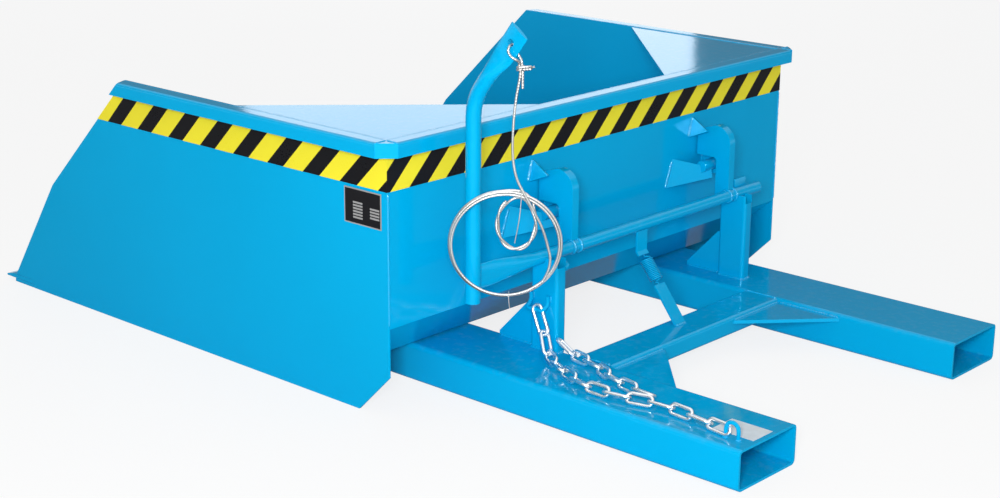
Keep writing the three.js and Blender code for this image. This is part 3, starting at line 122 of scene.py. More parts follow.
END_LOOP_TURNS = 1.75
END_LOOP_TWISTS = 3.5
END_LOOP_STEPS = 60
END_LOOP_STRAND = 0.0021
FINER_STEPS = 4


def smooth_route(points, spacing):
    """Evenly spaced points on a smooth line through the given ones."""
    knots = [Vector(p) for p in points]
    knots = [2 * knots[0] - knots[1], *knots, 2 * knots[-1] - knots[-2]]
    dense = []
    for a, b, c, d in zip(knots, knots[1:], knots[2:], knots[3:]):
        t1 = (b - a).length ** 0.5
        t2 = t1 + (c - b).length ** 0.5
        t3 = t2 + (d - c).length ** 0.5
        steps = max(FINER_STEPS, math.ceil(FINER_STEPS * (c - b).length / spacing))
        for i in range(steps):
            t = t1 + (t2 - t1) * i / steps
            ab = a.lerp(b, t / t1)
            bc = b.lerp(c, (t - t1) / (t2 - t1))
            cd = c.lerp(d, (t - t2) / (t3 - t2))
            abc = ab.lerp(bc, t / t2)
            bcd = bc.lerp(cd, (t - t1) / (t3 - t1))
            dense.append(abc.lerp(bcd, (t - t1) / (t2 - t1)))
    dense.append(knots[-2])
    return spaced(dense, spacing)


def spaced(points, spacing, count=None):
    """The same line with even steps near the spacing, or with count steps."""
    points = [Vector(p) for p in points]
    far = [0.0]
    for a, b in zip(points, points[1:]):
        far.append(far[-1] + (b - a).length)
    count = count or max(1, round(far[-1] / spacing))
    made, k = [], 0
    for i in range(count + 1):
        goal = far[-1] * i / count
        while k < len(points) - 2 and far[k + 1] < goal:
            k += 1
        span = far[k + 1] - far[k]
        made.append(points[k].lerp(points[k + 1], (goal - far[k]) / span if span else 0))
    return made


def circle(radius, sides):
    turns = [math.tau * i / sides for i in range(sides)]
    return [(radius * math.cos(turn), radius * math.sin(turn)) for turn in turns]


def stranded(radius):
    """Outline of a wire rope cut across: six round strands round a core."""
    made = []
    for i in range(3 * STRANDS):
        grow = 1.0 if i % 3 else STRAND_VALLEY_SHARE
        angle = math.tau * i / (3 * STRANDS)
        made.append((grow * radius * math.cos(angle), grow * radius * math.sin(angle)))
    return made


def add_tube(shape, route, outline, sizes=None, lay=0.0, closed=False):
    """Carries the outline along the route without spinning, but for one turn in each lay."""
    verts, faces = shape
    first = len(verts)
    count, sides = len(route), len(outline)
    heads = []
    for i in range(count):
        before = route[i - 1] if closed or i else route[0]
        after = route[(i + 1) % count] if closed or i < count - 1 else route[-1]
        heads.append((after - before).normalized())
    across = heads[0].orthogonal().normalized()
    gone = 0.0
    for i, (place, head) in enumerate(zip(route, heads)):
        if i:
            gone += (place - route[i - 1]).length
            across = heads[i - 1].rotation_difference(head) @ across
            across = (across - head * across.dot(head)).normalized()
        over = head.cross(across)
        turn = math.tau * gone / lay if lay else 0.0
        size = sizes[i] if sizes else 1.0
        c, s = size * math.cos(turn), size * math.sin(turn)
        for u, v in outline:
            verts.append(place + across * (u * c - v * s) + over * (u * s + v * c))
    for i in range(count if closed else count - 1):
        low, high = first + i * sides, first + (i + 1) % count * sides
        for j in range(sides):
            k = (j + 1) % sides
            faces.append((low + j, low + k, high + k, high + j))
    if not closed:
        faces.append(tuple(first + j for j in reversed(range(sides))))
        faces.append(tuple(first + (count - 1) * sides + j for j in range(sides)))


def make_mesh(name, shape, material, sharp=None):
    """A smooth new mesh in the scene, with its edges sharp past an angle where one is given."""
    mesh = bpy.data.meshes.new(name)
    mesh.from_pydata([tuple(v) for v in shape[0]], [], shape[1])
    mesh.materials.append(material)
    mesh.shade_smooth()
    if sharp:
        mesh.set_sharp_from_angle(angle=math.radians(sharp))
    made = bpy.data.objects.new(name, mesh)
    scene.collection.objects.link(made)
    return made


def make_piece(name, shape, body, material, sharp=40):
    """A new mesh that rides on a body, with the finish that it is given."""
    made = make_mesh(name, shape, material, sharp)
    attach(made, body)
    return made


def add_node(tree, kind, inputs=None, **settings):
    """A shader node with its settings, and its inputs linked to sockets or set to values."""
    made = tree.nodes.new("ShaderNode" + kind)
    for key, value in settings.items():
        setattr(made, key, value)
    for key, value in (inputs or {}).items():
        if isinstance(value, bpy.types.NodeSocket):
            tree.links.new(value, made.inputs[key])
        else:
            made.inputs[key].default_value = value
    return made


def new_material(name):
    made = bpy.data.materials.new(name)
    made.use_nodes = True
    tree = made.node_tree
    tree.nodes.clear()
    return made, tree


def finish_material(tree, skin, depth, strength, shader):
    """Ends a material in one shader, with the skin's colour and roughness, and bump from its height."""
    bump = add_node(tree, "Bump", {"Height": skin["Height"], "Distance": depth, "Strength": strength})
    looks = {"Base Color": skin["Colour"], "Roughness": skin["Roughness"], "Normal": bump.outputs[0]}
    principled = add_node(tree, "BsdfPrincipled", {**looks, **shader})
    end = add_node(tree, "OutputMaterial")
    tree.links.new(principled.outputs["BSDF"], end.inputs["Surface"])


def maths(tree, operation, *values):
    inputs = {i: v for i, v in enumerate(values)}
    return add_node(tree, "Math", inputs, operation=operation).outputs[0]


def new_group(name, colours, numbers, results):
    """A new shared effect, with the colours and numbers that it is given and what it puts out."""
    group = bpy.data.node_groups.new(name, "ShaderNodeTree")
    for given in colours:
        group.interface.new_socket(given, in_out="INPUT", socket_type="NodeSocketColor")
    for given in numbers:
        group.interface.new_socket(given, in_out="INPUT", socket_type="NodeSocketFloat")
    for result in results:
        kind = "NodeSocketColor" if result == "Colour" else "NodeSocketFloat"
        group.interface.new_socket(result, in_out="OUTPUT", socket_type=kind)
    return group, group.nodes.new("NodeGroupInput").outputs


def mottle_group():
    """Cloudy change of tone over the surface, with a fine grain for bump and roughness."""
    numbers = ("Cloud Scale", "Grain Scale", "Tone", "Roughness", "Roughness Spread")
    results = ("Colour", "Roughness", "Height")
    group, given = new_group("mottled surface", ["Colour"], numbers, results)
    place = add_node(group, "TexCoord").outputs["Object"]
    cloud = add_node(
        group, "TexNoise", {"Vector": place, "Scale": given["Cloud Scale"], "Detail": 4.0}
    ).outputs["Fac"]
    grain = add_node(
        group, "TexNoise", {"Vector": place, "Scale": given["Grain Scale"], "Detail": 2.0}
    ).outputs["Fac"]
    swing = maths(group, "MULTIPLY", maths(group, "SUBTRACT", cloud, 0.5), given["Tone"])
    tone = maths(group, "ADD", 1.0, swing)
    tinted = add_node(
        group, "VectorMath", {0: given["Colour"], "Scale": tone}, operation="SCALE"
    ).outputs[0]
    both = maths(group, "ADD", maths(group, "SUBTRACT", cloud, 0.5), maths(group, "SUBTRACT", grain, 0.5))
    unevenness = maths(group, "MULTIPLY", both, given["Roughness Spread"])
    rough = maths(group, "ADD", given["Roughness"], unevenness)
    end = group.nodes.new("NodeGroupOutput").inputs
    group.links.new(tinted, end["Colour"])
    group.links.new(rough, end["Roughness"])
    group.links.new(grain, end["Height"])
    return group


MOTTLE = mottle_group()


def mottled(tree, colour, cloud, grain, tone, roughness, spread):
    """The mottled surface placed in a material with its own values."""
    values = {
        "Colour": colour,
        "Cloud Scale": cloud,
        "Grain Scale": grain,
        "Tone": tone,
        "Roughness": roughness,
        "Roughness Spread": spread,
    }
    placed = add_node(tree, "Group", values, node_tree=MOTTLE)
    return {result.name: result for result in placed.outputs}


def metal(name, colour, roughness, grain, depth):
    """Bare or plated metal, cloudy in tone, with a fine grain."""
    made, tree = new_material(name)
    skin = mottled(
        tree, (*colour, 1), cloud=30.0, grain=grain, tone=0.25, roughness=roughness, spread=0.25
    )
    finish_material(tree, skin, depth, strength=0.5, shader={"Metallic": 1.0})
    return made


ROPE_FINISH = metal(
    "galvanised wire", colour=(0.66, 0.66, 0.65), roughness=0.42, grain=900.0, depth=0.0003
)


def coil_point(swept):
    """A place in the coil, whose turns grow outward and lie a little loose behind each other."""
    turns = swept / math.tau
    angle = COIL_START - swept
    radius = COIL_RADIUS + COIL_OPENING * turns + COIL_LOOSE * math.sin(COIL_LOOSE_TURN * swept)
    return Vector(
        (
            COIL_SIDE - COIL_SHIFT * turns + radius * math.cos(angle),
            COIL_STACK * turns,
            radius * COIL_TALL * math.sin(angle) - COIL_DROP - COIL_SINK * turns,
        )
    )


def end_loop_point(swept):
    """A place in the end loop, where the rope's end is twisted round itself."""
    angle = END_LOOP_START - swept
    twist = END_LOOP_TWISTS * swept
    outward = END_LOOP_STRAND * math.cos(twist)
    radial = Vector((math.cos(angle) / END_LOOP_WIDE, math.sin(angle) / END_LOOP_TALL)).normalized()
    return Vector(
        (
            END_LOOP_SIDE + END_LOOP_WIDE * math.cos(angle) + outward * radial.x,
            END_LOOP_DEPTH + END_LOOP_STRAND * math.sin(twist),
            END_LOOP_TALL * math.sin(angle) + outward * radial.y - END_LOOP_DROP,
        )
    )


def rope_points():
    """The rope from the knot down the line, round the coil and round the end loop."""
    points = [Vector(p) for p in LINE_POINTS]
    small = ROPE_WIDE / COIL_RADIUS
    start = coil_point(0)
    ahead = (coil_point(small) - start).normalized()
    points += [start - ahead * 2 * ROPE_WIDE, start - ahead * ROPE_WIDE]
    sweep = COIL_TURNS * math.tau
    steps = round(COIL_TURNS * TURN_STEPS)
    points += [coil_point(sweep * i / steps) for i in range(steps + 1)]
    ahead = (points[-1] - coil_point(sweep - small)).normalized()
    points += [points[-1] + ahead * ROPE_WIDE, points[-1] + ahead * 2 * ROPE_WIDE]
    points += [Vector(p) for p in END_LOOP_ENTRY]
    sweep = END_LOOP_TURNS * math.tau
    steps = round(END_LOOP_TURNS * END_LOOP_STEPS)
    points += [end_loop_point(sweep * i / steps) for i in range(steps + 1)]
    return [HANGING @ p for p in points]


def lay_rope(shape, route):
    add_tube(shape, route, stranded(ROPE_WIDE / 2), lay=ROPE_LAY)


rope_route = smooth_route(rope_points(), ROPE_STEP)
rope_shape = ([], [])
lay_rope(rope_shape, rope_route)
wire_rope = make_piece("wire_rope", rope_shape, "rope", ROPE_FINISH, sharp=80)
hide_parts("rope_line", "rope_coil", "rope_end_loop")

# Rope loop: the rope's own loop through the lever's hole. It rises from the knot on one side,
# hangs over the hole's edge and comes down to the knot on the other.

LOOP_BEND = 0.010
LOOP_SAG = 0.0038
LOOP_RISING = [
    (0.005, -0.0135, -0.0440),
    (0.005, -0.0135, -0.0374),
    (0.002, -0.0155, -0.0335),
    (-0.0045, -0.0135, -0.0290),
    (-0.009, -0.008, -0.0245),
    (-0.010, -0.002, -0.0185),
    (-0.010, 0, -0.0138),
]
LOOP_FALLING = [
    (0.010, 0, -0.0138),
    (0.0105, -0.003, -0.0190),
    (0.0115, -0.008, -0.0260),
    (0.012, -0.0125, -0.0320),
    (0.012, -0.0135, -0.0374),
    (0.012, -0.0135, -0.0440),
]
ARC_STEPS = 6

loop_points = list(LOOP_RISING)
for step in range(1, ARC_STEPS):
    angle = math.pi * (1 - step / ARC_STEPS)
    rise = LOOP_BEND * (math.sin(angle) - 1) - LOOP_SAG
    loop_points.append((LOOP_BEND * math.cos(angle), 0, rise))
loop_points += LOOP_FALLING
loop_route = smooth_route([HOLE + Vector(p) for p in loop_points], ROPE_STEP / 2)
loop_shape = ([], [])
lay_rope(loop_shape, loop_route)
wire_loop = make_piece("wire_loop", loop_shape, "rope", ROPE_FINISH, sharp=80)
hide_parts("rope_loop")

# Knot: the rope's own end wrapped round both sides of the loop and tucked back, with two
# loose wires at its tip and a short straight tail cut off square.

KNOT_CENTRE = (0.0157, -0.0027, -0.047)
KNOT_WRAP = 0.0053
KNOT_TURNS = 2.2
KNOT_PITCH = 0.0046
BIGHT_POINTS = [
    (0.0150, -0.0080, -0.0440),
    (0.0220, -0.0085, -0.0432),
    (0.0300, -0.0078, -0.0428),
    (0.0348, -0.0060, -0.0432),
    (0.0360, -0.0040, -0.0450),
    (0.0345, -0.0030, -0.0472),
    (0.0300, -0.0035, -0.0480),
    (0.0220, -0.0045, -0.0482),
    (0.0150, -0.0040, -0.0478),
]
TAIL_POINTS = [
    (0.0195, -0.0010, -0.0420),
    (0.0199, -0.0012, -0.0520),
    (0.0200, -0.0020, -0.0660),
    (0.0200, -0.0030, -0.0840),
]
WIRE_TIPS = [
    [(0.0362, -0.0040, -0.0440), (0.0385, -0.0050, -0.0432), (0.0412, -0.0056, -0.0418)],
    [(0.0362, -0.0020, -0.0442), (0.0388, -0.0016, -0.0450), (0.0418, -0.0010, -0.0452)],
]
WIRE_TIP_RADIUS = 0.0009

knot_points = []
for step in range(round(KNOT_TURNS * TURN_STEPS) + 1):
    turns = step / TURN_STEPS
    swing = math.tau * turns
    rise = KNOT_PITCH * (turns - KNOT_TURNS / 2)
    around = Vector((KNOT_WRAP * math.cos(swing), KNOT_WRAP * math.sin(swing), rise))
    knot_points.append(Vector(KNOT_CENTRE) + around)
knot_shape = ([], [])
for points in (knot_points, BIGHT_POINTS, TAIL_POINTS):
    lay_rope(knot_shape, smooth_route([HANGING @ Vector(p) for p in points], ROPE_STEP / 2))
for points in WIRE_TIPS:
    add_tube(knot_shape, [HANGING @ Vector(p) for p in points], circle(WIRE_TIP_RADIUS, sides=6))
wire_knot = make_piece("wire_knot", knot_shape, "rope", ROPE_FINISH, sharp=80)
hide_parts("rope_knot")

# Coil ties: two short lengths of thin wire twisted round the coil's turns, above and below,
# each with a loose tail.

TIE_RADIUS = 0.001
TIE_DEEP = 0.0125
TIE_HIGH = 0.0072
TIE_DEPTH = 0.0068
TIE_PLACES = [(0.0195, -0.2862), (-0.0020, -0.4842)]
TIE_TAILS = [
    [(0.0205, -0.0058, -0.2860), (0.0165, -0.0066, -0.3300), (0.0085, -0.0056, -0.3770)],
    [(-0.0020, -0.0056, -0.4845), (-0.0012, -0.0060, -0.4970), (0.0, -0.0052, -0.5060)],
]

tie_shape = ([], [])
for (side, height), tail in zip(TIE_PLACES, TIE_TAILS):
    round_coil = [
        HANGING @ Vector((side, TIE_DEPTH + TIE_DEEP * deep, height + TIE_HIGH * high))
        for deep, high in circle(1, sides=TURN_STEPS)
    ]
    add_tube(tie_shape, round_coil, circle(TIE_RADIUS, sides=8), closed=True)
    tail_points = smooth_route([HANGING @ Vector(p) for p in tail], ROPE_STEP)
    add_tube(tie_shape, tail_points, circle(TIE_RADIUS, sides=8))
make_piece("coil_ties", tie_shape, "rope", ROPE_FINISH, sharp=60)

# Blue paint: a thick glossy coat over sheet steel, with a faint orange peel and soft clouds
# of tone. It covers every welded piece of the frame, the bucket and the release.

BLUE = (0.0, 0.375, 0.69, 1)
DUST = (0.42, 0.50, 0.56, 1)
MOST_DUST = 0.07
DUST_SPECKS = 70.0


def ranged(tree, value, start, end, low=0.0, high=1.0):
    """The value carried in a straight line from start and end to low and high, and held there."""
    return add_node(
        tree,
        "MapRange",
        {"Value": value, "From Min": start, "From Max": end, "To Min": low, "To Max": high},
    ).outputs[0]


def mixed(tree, share, under, over):
    """The colour under, with a share of the colour over."""
    return add_node(tree, "Mix", {"Factor": share, 6: under, 7: over}, data_type="RGBA").outputs[2]


def dust_group():
    """A little pale dust that has settled in specks where a surface faces up."""
    group, given = new_group("settled dust", ["Colour", "Dust"], ["Speck Scale", "Most"], ["Colour"])
    place = add_node(group, "TexCoord").outputs["Object"]
    specks = add_node(
        group, "TexNoise", {"Vector": place, "Scale": given["Speck Scale"], "Detail": 6.0}
    ).outputs["Fac"]
    dusty = ranged(group, specks, 0.5, 0.8, high=given["Most"])
    facing = add_node(group, "NewGeometry").outputs["Normal"]
    upward = add_node(group, "SeparateXYZ", {0: facing}).outputs["Z"]
    settled = maths(group, "MULTIPLY", dusty, maths(group, "MAXIMUM", upward, 0.0))
    colour = mixed(group, settled, given["Colour"], given["Dust"])
    group.links.new(colour, group.nodes.new("NodeGroupOutput").inputs["Colour"])
    return group


SETTLED_DUST = dust_group()


def paint(name, grain, depth, roughness=0.1, shine=0.6, tint=(0.16, 0.66, 1.0)):
    """The blue coat, with a little dust on what faces up."""
    made, tree = new_material(name)
    skin = mottled(tree, BLUE, cloud=2.2, grain=grain, tone=0.12, roughness=roughness, spread=0.1)
    values = {"Colour": skin["Colour"], "Dust": DUST, "Speck Scale": DUST_SPECKS, "Most": MOST_DUST}
    skin["Colour"] = add_node(tree, "Group", values, node_tree=SETTLED_DUST).outputs["Colour"]
    shader = {"Specular IOR Level": shine, "Specular Tint": (*tint, 1)}
    finish_material(tree, skin, depth, strength=0.3, shader=shader)
    return made


PAINT = paint("glossy blue paint", grain=90.0, depth=0.0003)
SEAM_MERGE = 0.00002


def weld_vertices(node):
    """Joins the doubled vertices of a CAD node, so that it shades and bevels as one skin."""
    node.modifiers.new("weld", "WELD").merge_threshold = SEAM_MERGE


def dress(names, material, round_edges=0.0):
    """Gives CAD nodes their finish, and small round edges where they are cut from sheet."""
    for name in names:
        node = nodes[name]
        for kept in node.material_slots:
            kept.material = material
        if round_edges:
            weld_vertices(node)
            bevel = node.modifiers.new("edges", "BEVEL")
            bevel.width = round_edges
            bevel.segments = 2
            bevel.limit_method = "ANGLE"
            bevel.angle_limit = math.radians(38)
            bevel.miter_outer = "MITER_ARC"
            even = node.modifiers.new("even normals", "WEIGHTED_NORMAL")
            even.keep_sharp = False


# Weld beads: short overlapping ripples of weld metal, laid by hand in the corner of a joint
# and painted over with the rest.

BEAD = 0.0029
BEAD_STEP_SHARE = 0.45
BEAD_BODY_SHARE = 0.86
RIPPLE_TURN = 0.62
RIPPLE_SHARE = 0.2
DRIFT_SCALE = 160
DRIFT_SHARE = 0.22
BEAD_END_SHARE = 0.35
BEAD_GROWTH_SHARE = 0.3
BEAD_PAINT = paint(
    "painted weld", grain=420.0, depth=0.0010, roughness=0.12, shine=0.95, tint=(0.8, 0.9, 1.0)
)


def weld_runs(name, body, runs, wide=BEAD):
    """One piece with a rippled bead along every run, sunk to half its height in the joint."""
    shape = ([], [])
    for run in runs:
        route = spaced(run, wide * BEAD_STEP_SHARE)
        sizes = []
        for i, place in enumerate(route):
            ripple = abs(math.sin(i * RIPPLE_TURN))
            drift = noise.noise(place * DRIFT_SCALE)
            ends = min(1.0, BEAD_END_SHARE + BEAD_GROWTH_SHARE * min(i, len(route) - 1 - i))
            sizes.append(ends * (BEAD_BODY_SHARE + RIPPLE_SHARE * ripple + DRIFT_SHARE * drift))
        add_tube(shape, route, circle(wide, sides=8), sizes=sizes)
    return make_piece(name, shape, body, BEAD_PAINT, sharp=60)


def ring_run(centre, radius, around, steps=28):
    """Points of a full turn about an axis, for a bead round a pin, a tube or a wire."""
    turn = Vector(around).normalized()
    arm = turn.orthogonal().normalized() * radius
    side = turn.cross(arm)
    return [
        Vector(centre) + arm * math.cos(math.tau * i / steps) + side * math.sin(math.tau * i / steps)
        for i in range(steps + 1)
    ]


def pair(x, *ends):
    """The same run of (y, z) points at x on the left and on the right."""
    return [[(side * x, y, z) for y, z in ends] for side in (-1, 1)]


# Bottom frame: two fork pockets of rectangular tube, joined by a cross beam with a flat
# gusset in each rear corner, all welded.

dress(["pocket_left", "pocket_right"], PAINT, round_edges=0.0007)
dress(["cross_beam"], PAINT)
dress(["corner_gusset_left", "corner_gusset_right"], PAINT, round_edges=0.001)

BEAM_SEAM_FOOT = 0.044
BEAM_SEAM_HEAD = 0.007
BEAM_SEAM_END = 0.006
GUSSET_SEAM_END = 0.004
GUSSET_SEAM_CLEAR = 0.003

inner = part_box("pocket_right")[0].x
beam_low, beam_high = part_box("cross_beam")
gusset_low, gusset_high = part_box("corner_gusset_right")
top = gusset_high.z
frame_beads = []
for y in (beam_low.y, beam_high.y):
    frame_beads += pair(inner, (y, BEAM_SEAM_FOOT), (y, beam_high.z - BEAM_SEAM_HEAD))
frame_beads += pair(
    inner, (beam_low.y + BEAM_SEAM_END, beam_high.z), (beam_high.y - BEAM_SEAM_END, beam_high.z)
)
frame_beads += pair(inner, (gusset_low.y + GUSSET_SEAM_END, top), (beam_low.y - GUSSET_SEAM_CLEAR, top))
for side in (-1, 1):
    ends = (side * (inner - GUSSET_SEAM_END), side * (gusset_low.x + BEAM_SEAM_END))
    frame_beads.append([(x, beam_low.y, top) for x in ends])
weld_runs("weld_cross_beam", "frame", frame_beads)

# Posts: two upright tubes with round notches for the shaft, each with a plate in front.
# The left one has a short round boss on its inner side.

dress(["post_left", "post_right"], PAINT, round_edges=0.0006)
dress(["post_gusset_left", "post_gusset_right", "stop_boss"], PAINT, round_edges=0.0008)

POST_CORNER = 0.005
PLATE_SEAM_END = 0.003

post_beads = []
for name in ("post_left", "post_right"):
    low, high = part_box(name)
    foot = low.z
    if high.x < 0:
        high.x = min(high.x, -inner)
    near, far = low + Vector((POST_CORNER,) * 3), high - Vector((POST_CORNER,) * 3)
    around = [
        (near.x, low.y),
        (far.x, low.y),
        (high.x, near.y),
        (high.x, far.y),
        (far.x, high.y),
        (near.x, high.y),
        (low.x, far.y),
        (low.x, near.y),
        (near.x, low.y),
    ]
    post_beads.append([(x, y, foot) for x, y in around])
for name in ("post_gusset_left", "post_gusset_right"):
    low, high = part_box(name)
    for x in (low.x, high.x):
        post_beads.append([(x, low.y + PLATE_SEAM_END, low.z), (x, high.y - PLATE_SEAM_END, low.z)])
        post_beads.append([(x, low.y, low.z + PLATE_SEAM_END), (x, low.y, high.z - PLATE_SEAM_END)])
low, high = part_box("stop_boss")
boss_middle = (low.x, (low.y + high.y) / 2, (low.z + high.z) / 2)
post_beads.append(ring_run(boss_middle, (high.z - low.z) / 2, (1, 0, 0)))
weld_runs("weld_posts", "frame", post_beads)

# Tilt pivot: a flat steel lug welded outside each pocket, and a headed pin that the bucket's
# ears turn on.

dress(["pivot_lug_left", "pivot_lug_right"], PAINT, round_edges=0.0008)

LUG_SEAM_END = 0.004
LUG_ROUND_END = 0.034

low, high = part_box("pivot_lug_right")
lug_beads = []
for z in (high.z, low.z):
    lug_beads += pair(low.x, (low.y + LUG_SEAM_END, z), (high.y - LUG_ROUND_END, z))
weld_runs("weld_pivot_lugs", "frame", lug_beads)

# Zinc plating: a thin bright coat over the steel of the pivot pins and the chain's links,
# slightly cloudy.

ZINC = metal("bright zinc", colour=(0.93, 0.94, 0.96), roughness=0.3, grain=420.0, depth=0.0002)
dress(["pivot_pin_left", "pivot_pin_right"], ZINC, round_edges=0.0008)

# Chain: welded steel links of 7 mm wire that hang from a staple on the left post and lie in
# two runs on the left pocket, the longer one hooked into an eye.

LINK_WIRE = 0.007
LINK_WIDE = 0.026
LINK_PITCH = 0.046
LINK_LAP = 0.0006
RUN_GAP = 0.0025
TOP_GAP = 0.0003
LINK_ROLLS = (math.radians(62), math.radians(-24))
BEND_STEPS = 12
WELDED_SIDE = [(0.25, 1.0), (0.42, 1.09), (0.5, 1.09), (0.58, 1.09), (0.75, 1.0)]
PLAIN_SIDE = [(0.33, 1.0), (0.67, 1.0)]
FINE_STEPS = 40
LYING = 0.0926
POCKET_INNER = -0.290
POCKET_WIDE = 0.180
CHAIN_REAR = -0.942
CHAIN_REACH = 0.539
CHAIN_RISE = 0.0784
LONG_RUN = [
    (0.267, 0.945, 0.45),
    (0.344, 0.909, 0.07),
    (0.583, 0.777, 0),
    (0.8, 0.58, 0),
    (0.76, 0.42, 0),
    (0.68, 0.3, 0),
    (0.73, 0.11, 0),
]
SHORT_RUN = [
    (0.155, 0.9, 0.25),
    (0.15, 0.85, 0.02),
    (0.19, 0.8, 0),
    (0.25, 0.7, 0),
    (0.42, 0.585, 0),
    (0.52, 0.45, 0),
    (0.54, 0.37, 0),
]
EYE_SEAT = Vector((-0.430, -0.946, LYING))
TOP_SEAT = Vector((-0.3336, -0.4074, 0.1772))


def chain_point(across, along, up):
    """A place over the pocket, in shares of its width, of the chain's reach and of its rise."""
    return Vector(
        (
            POCKET_INNER - POCKET_WIDE * across,
            CHAIN_REAR + CHAIN_REACH * along,
            LYING + CHAIN_RISE * up,
        )
    )


def add_link(shape, start, end, roll, lap_start, lap_end):
    """A long ring of round wire, a little thicker at the weld in the middle of one side."""
    ring = (LINK_WIDE - LINK_WIRE) / 2
    along = end - start
    half = along.length / 2 + LINK_WIRE / 2 - ring
    along.normalize()
    level = Vector((0, 0, 1)).cross(along).normalized()
    side = Matrix.Rotation(roll, 3, along) @ level
    far, near = half - lap_end / 2, -half + lap_start / 2
    route, sizes = [], []
    halves = [(far, near, 0.5, -ring, WELDED_SIDE), (near, far, 1.5, ring, PLAIN_SIDE)]
    for here, there, quarter, out, straight in halves:
        for i in range(BEND_STEPS + 1):
            angle = math.pi * (quarter - i / BEND_STEPS)
            route.append((here + ring * math.cos(angle), ring * math.sin(angle)))
            sizes.append(1.0)
        for share, thickness in straight:
            route.append((here + (there - here) * share, out))
            sizes.append(thickness)
    middle = (start + end) / 2
    places = [middle + along * u + side * v for u, v in route]
    add_tube(shape, places, circle(LINK_WIRE / 2, sides=12), sizes=sizes, closed=True)


def chain_run(name, replaced, joints, first_roll):
    """One piece with a link between each two joints, rolled one way and the other in turn."""
    shape = ([], [])
    last = len(joints) - 2
    for i in range(last + 1):
        lap_start = -RUN_GAP if i == 0 else LINK_LAP
        lap_end = -RUN_GAP if i == last else LINK_LAP
        roll = LINK_ROLLS[(first_roll + i) % 2]
        add_link(shape, joints[i], joints[i + 1], roll, lap_start, lap_end)
    made = make_piece(name, shape, "frame", ZINC, sharp=60)
    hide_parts(replaced)


def run_joints(points):
    """The places along a run where one link hangs in the next."""
    fine = smooth_route(points, LINK_PITCH / FINE_STEPS)
    length = sum((b - a).length for a, b in zip(fine, fine[1:]))
    return spaced(fine, LINK_PITCH, count=round(length / LINK_PITCH))


long_joints = run_joints([chain_point(*p) for p in LONG_RUN] + [EYE_SEAT])
half_way = (len(long_joints) - 1) // 2
chain_run("chain_front_links", "chain_long_run_front", long_joints[: half_way + 1], 1)
chain_run("chain_rear_links", "chain_long_run_rear", long_joints[half_way:], half_way + 1)
chain_run("chain_side_links", "chain_short_run", run_joints([chain_point(*p) for p in SHORT_RUN]), 1)
top_shape = ([], [])
add_link(top_shape, TOP_SEAT, long_joints[0], LINK_ROLLS[0], -TOP_GAP, -RUN_GAP)
top_link = make_piece("chain_hanging_link", top_shape, "frame", ZINC, sharp=60)
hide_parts("chain_top_link")

# The chain's ends: a bent rod staple welded on the post, and a bent rod eye welded on the
# pocket, each with a bead round its feet.

STAPLE_SEAM = 0.014

dress(["chain_staple", "chain_eye"], PAINT)
for name in ("chain_staple", "chain_eye"):
    weld_vertices(nodes[name])
low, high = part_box("chain_eye")
eye_x = (low.x + high.x) / 2
wire = (high.x - low.x) / 2
eye_beads = [ring_run((eye_x, y, low.z), wire, (0, 0, 1)) for y in (low.y + wire, high.y - wire)]
low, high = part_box("chain_staple")
for y in (low.y, low.y + 2 * wire, high.y - 2 * wire, high.y):
    eye_beads.append([(high.x, y, high.z - STAPLE_SEAM), (high.x, y, high.z)])
weld_runs("weld_chain_ends", "frame", eye_beads, wide=0.002)

# Return spring: close-wound painted wire with a plain hook at each end, between a flat strap
# welded on the beam and a flat arm welded under the shaft.

dress(["spring_strap", "spring_arm"], PAINT, round_edges=0.0006)

SPRING_TOP = Vector((0.005, -0.4132, 0.2108))
SPRING_UP = Vector((0, 0.6152, 0.7884))
SPRING_LONG = 0.0701
SPRING_WIRE = 0.003
SPRING_RADIUS = 0.013
SPRING_PITCH = 0.0037
SPRING_CURLS = 13
SPRING_END = 0.008
SPRING_STEP = 0.003
CURL_STEPS = 16
STRAP_FOOT = (-0.518, -0.5115)


def spring_points():
    """The wire from the upper hook, round all the curls, to the lower hook."""
    ahead = Vector((0, SPRING_UP.z, -SPRING_UP.y))
    points = []

    def place(distance, radius, angle):
        centre = SPRING_TOP - SPRING_UP * distance
        sideways = Vector((radius * math.cos(angle), 0, 0))
        points.append(centre + sideways + ahead * radius * math.sin(angle))

    place(0, 0, 0)
    place(SPRING_WIRE, 0, 0)
    half = CURL_STEPS // 2
    begin = SPRING_WIRE + SPRING_END
    for i in range(1, half):
        share = i / half
        place(SPRING_WIRE + share * SPRING_END, SPRING_RADIUS * share, math.pi * (share - 1))
    for i in range(SPRING_CURLS * CURL_STEPS + 1):
        turns = i / CURL_STEPS
        place(begin + turns * SPRING_PITCH, SPRING_RADIUS, math.tau * turns)
    end = begin + SPRING_CURLS * SPRING_PITCH
    for i in range(1, half):
        share = i / half
        place(end + share * SPRING_END, SPRING_RADIUS * (1 - share), math.pi * share)
    place(SPRING_LONG - SPRING_WIRE, 0, 0)
    place(SPRING_LONG, 0, 0)
    return points


SPRING_PAINT = paint("painted spring wire", grain=500.0, depth=0.0003, roughness=0.3)
spring_route = smooth_route(spring_points(), SPRING_STEP)
spring_shape = ([], [])
add_tube(spring_shape, spring_route, circle(SPRING_WIRE / 2, sides=10))
return_spring = make_mesh("return_spring", spring_shape, SPRING_PAINT)
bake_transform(return_spring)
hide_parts("tension_spring")

low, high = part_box("spring_strap")
strap_beads = [[(low.x, y, low.z), (high.x, y, low.z)] for y in STRAP_FOOT]
weld_runs("weld_spring_strap", "frame", strap_beads)

# Release: a round shaft pressed flat at its left end, a bent tube lever, and two hooks cut
# from thick plate, all welded together.

dress(["release_shaft", "lever"], PAINT, round_edges=0.0006)
dress(["hook_left", "hook_right"], PAINT, round_edges=0.0012)

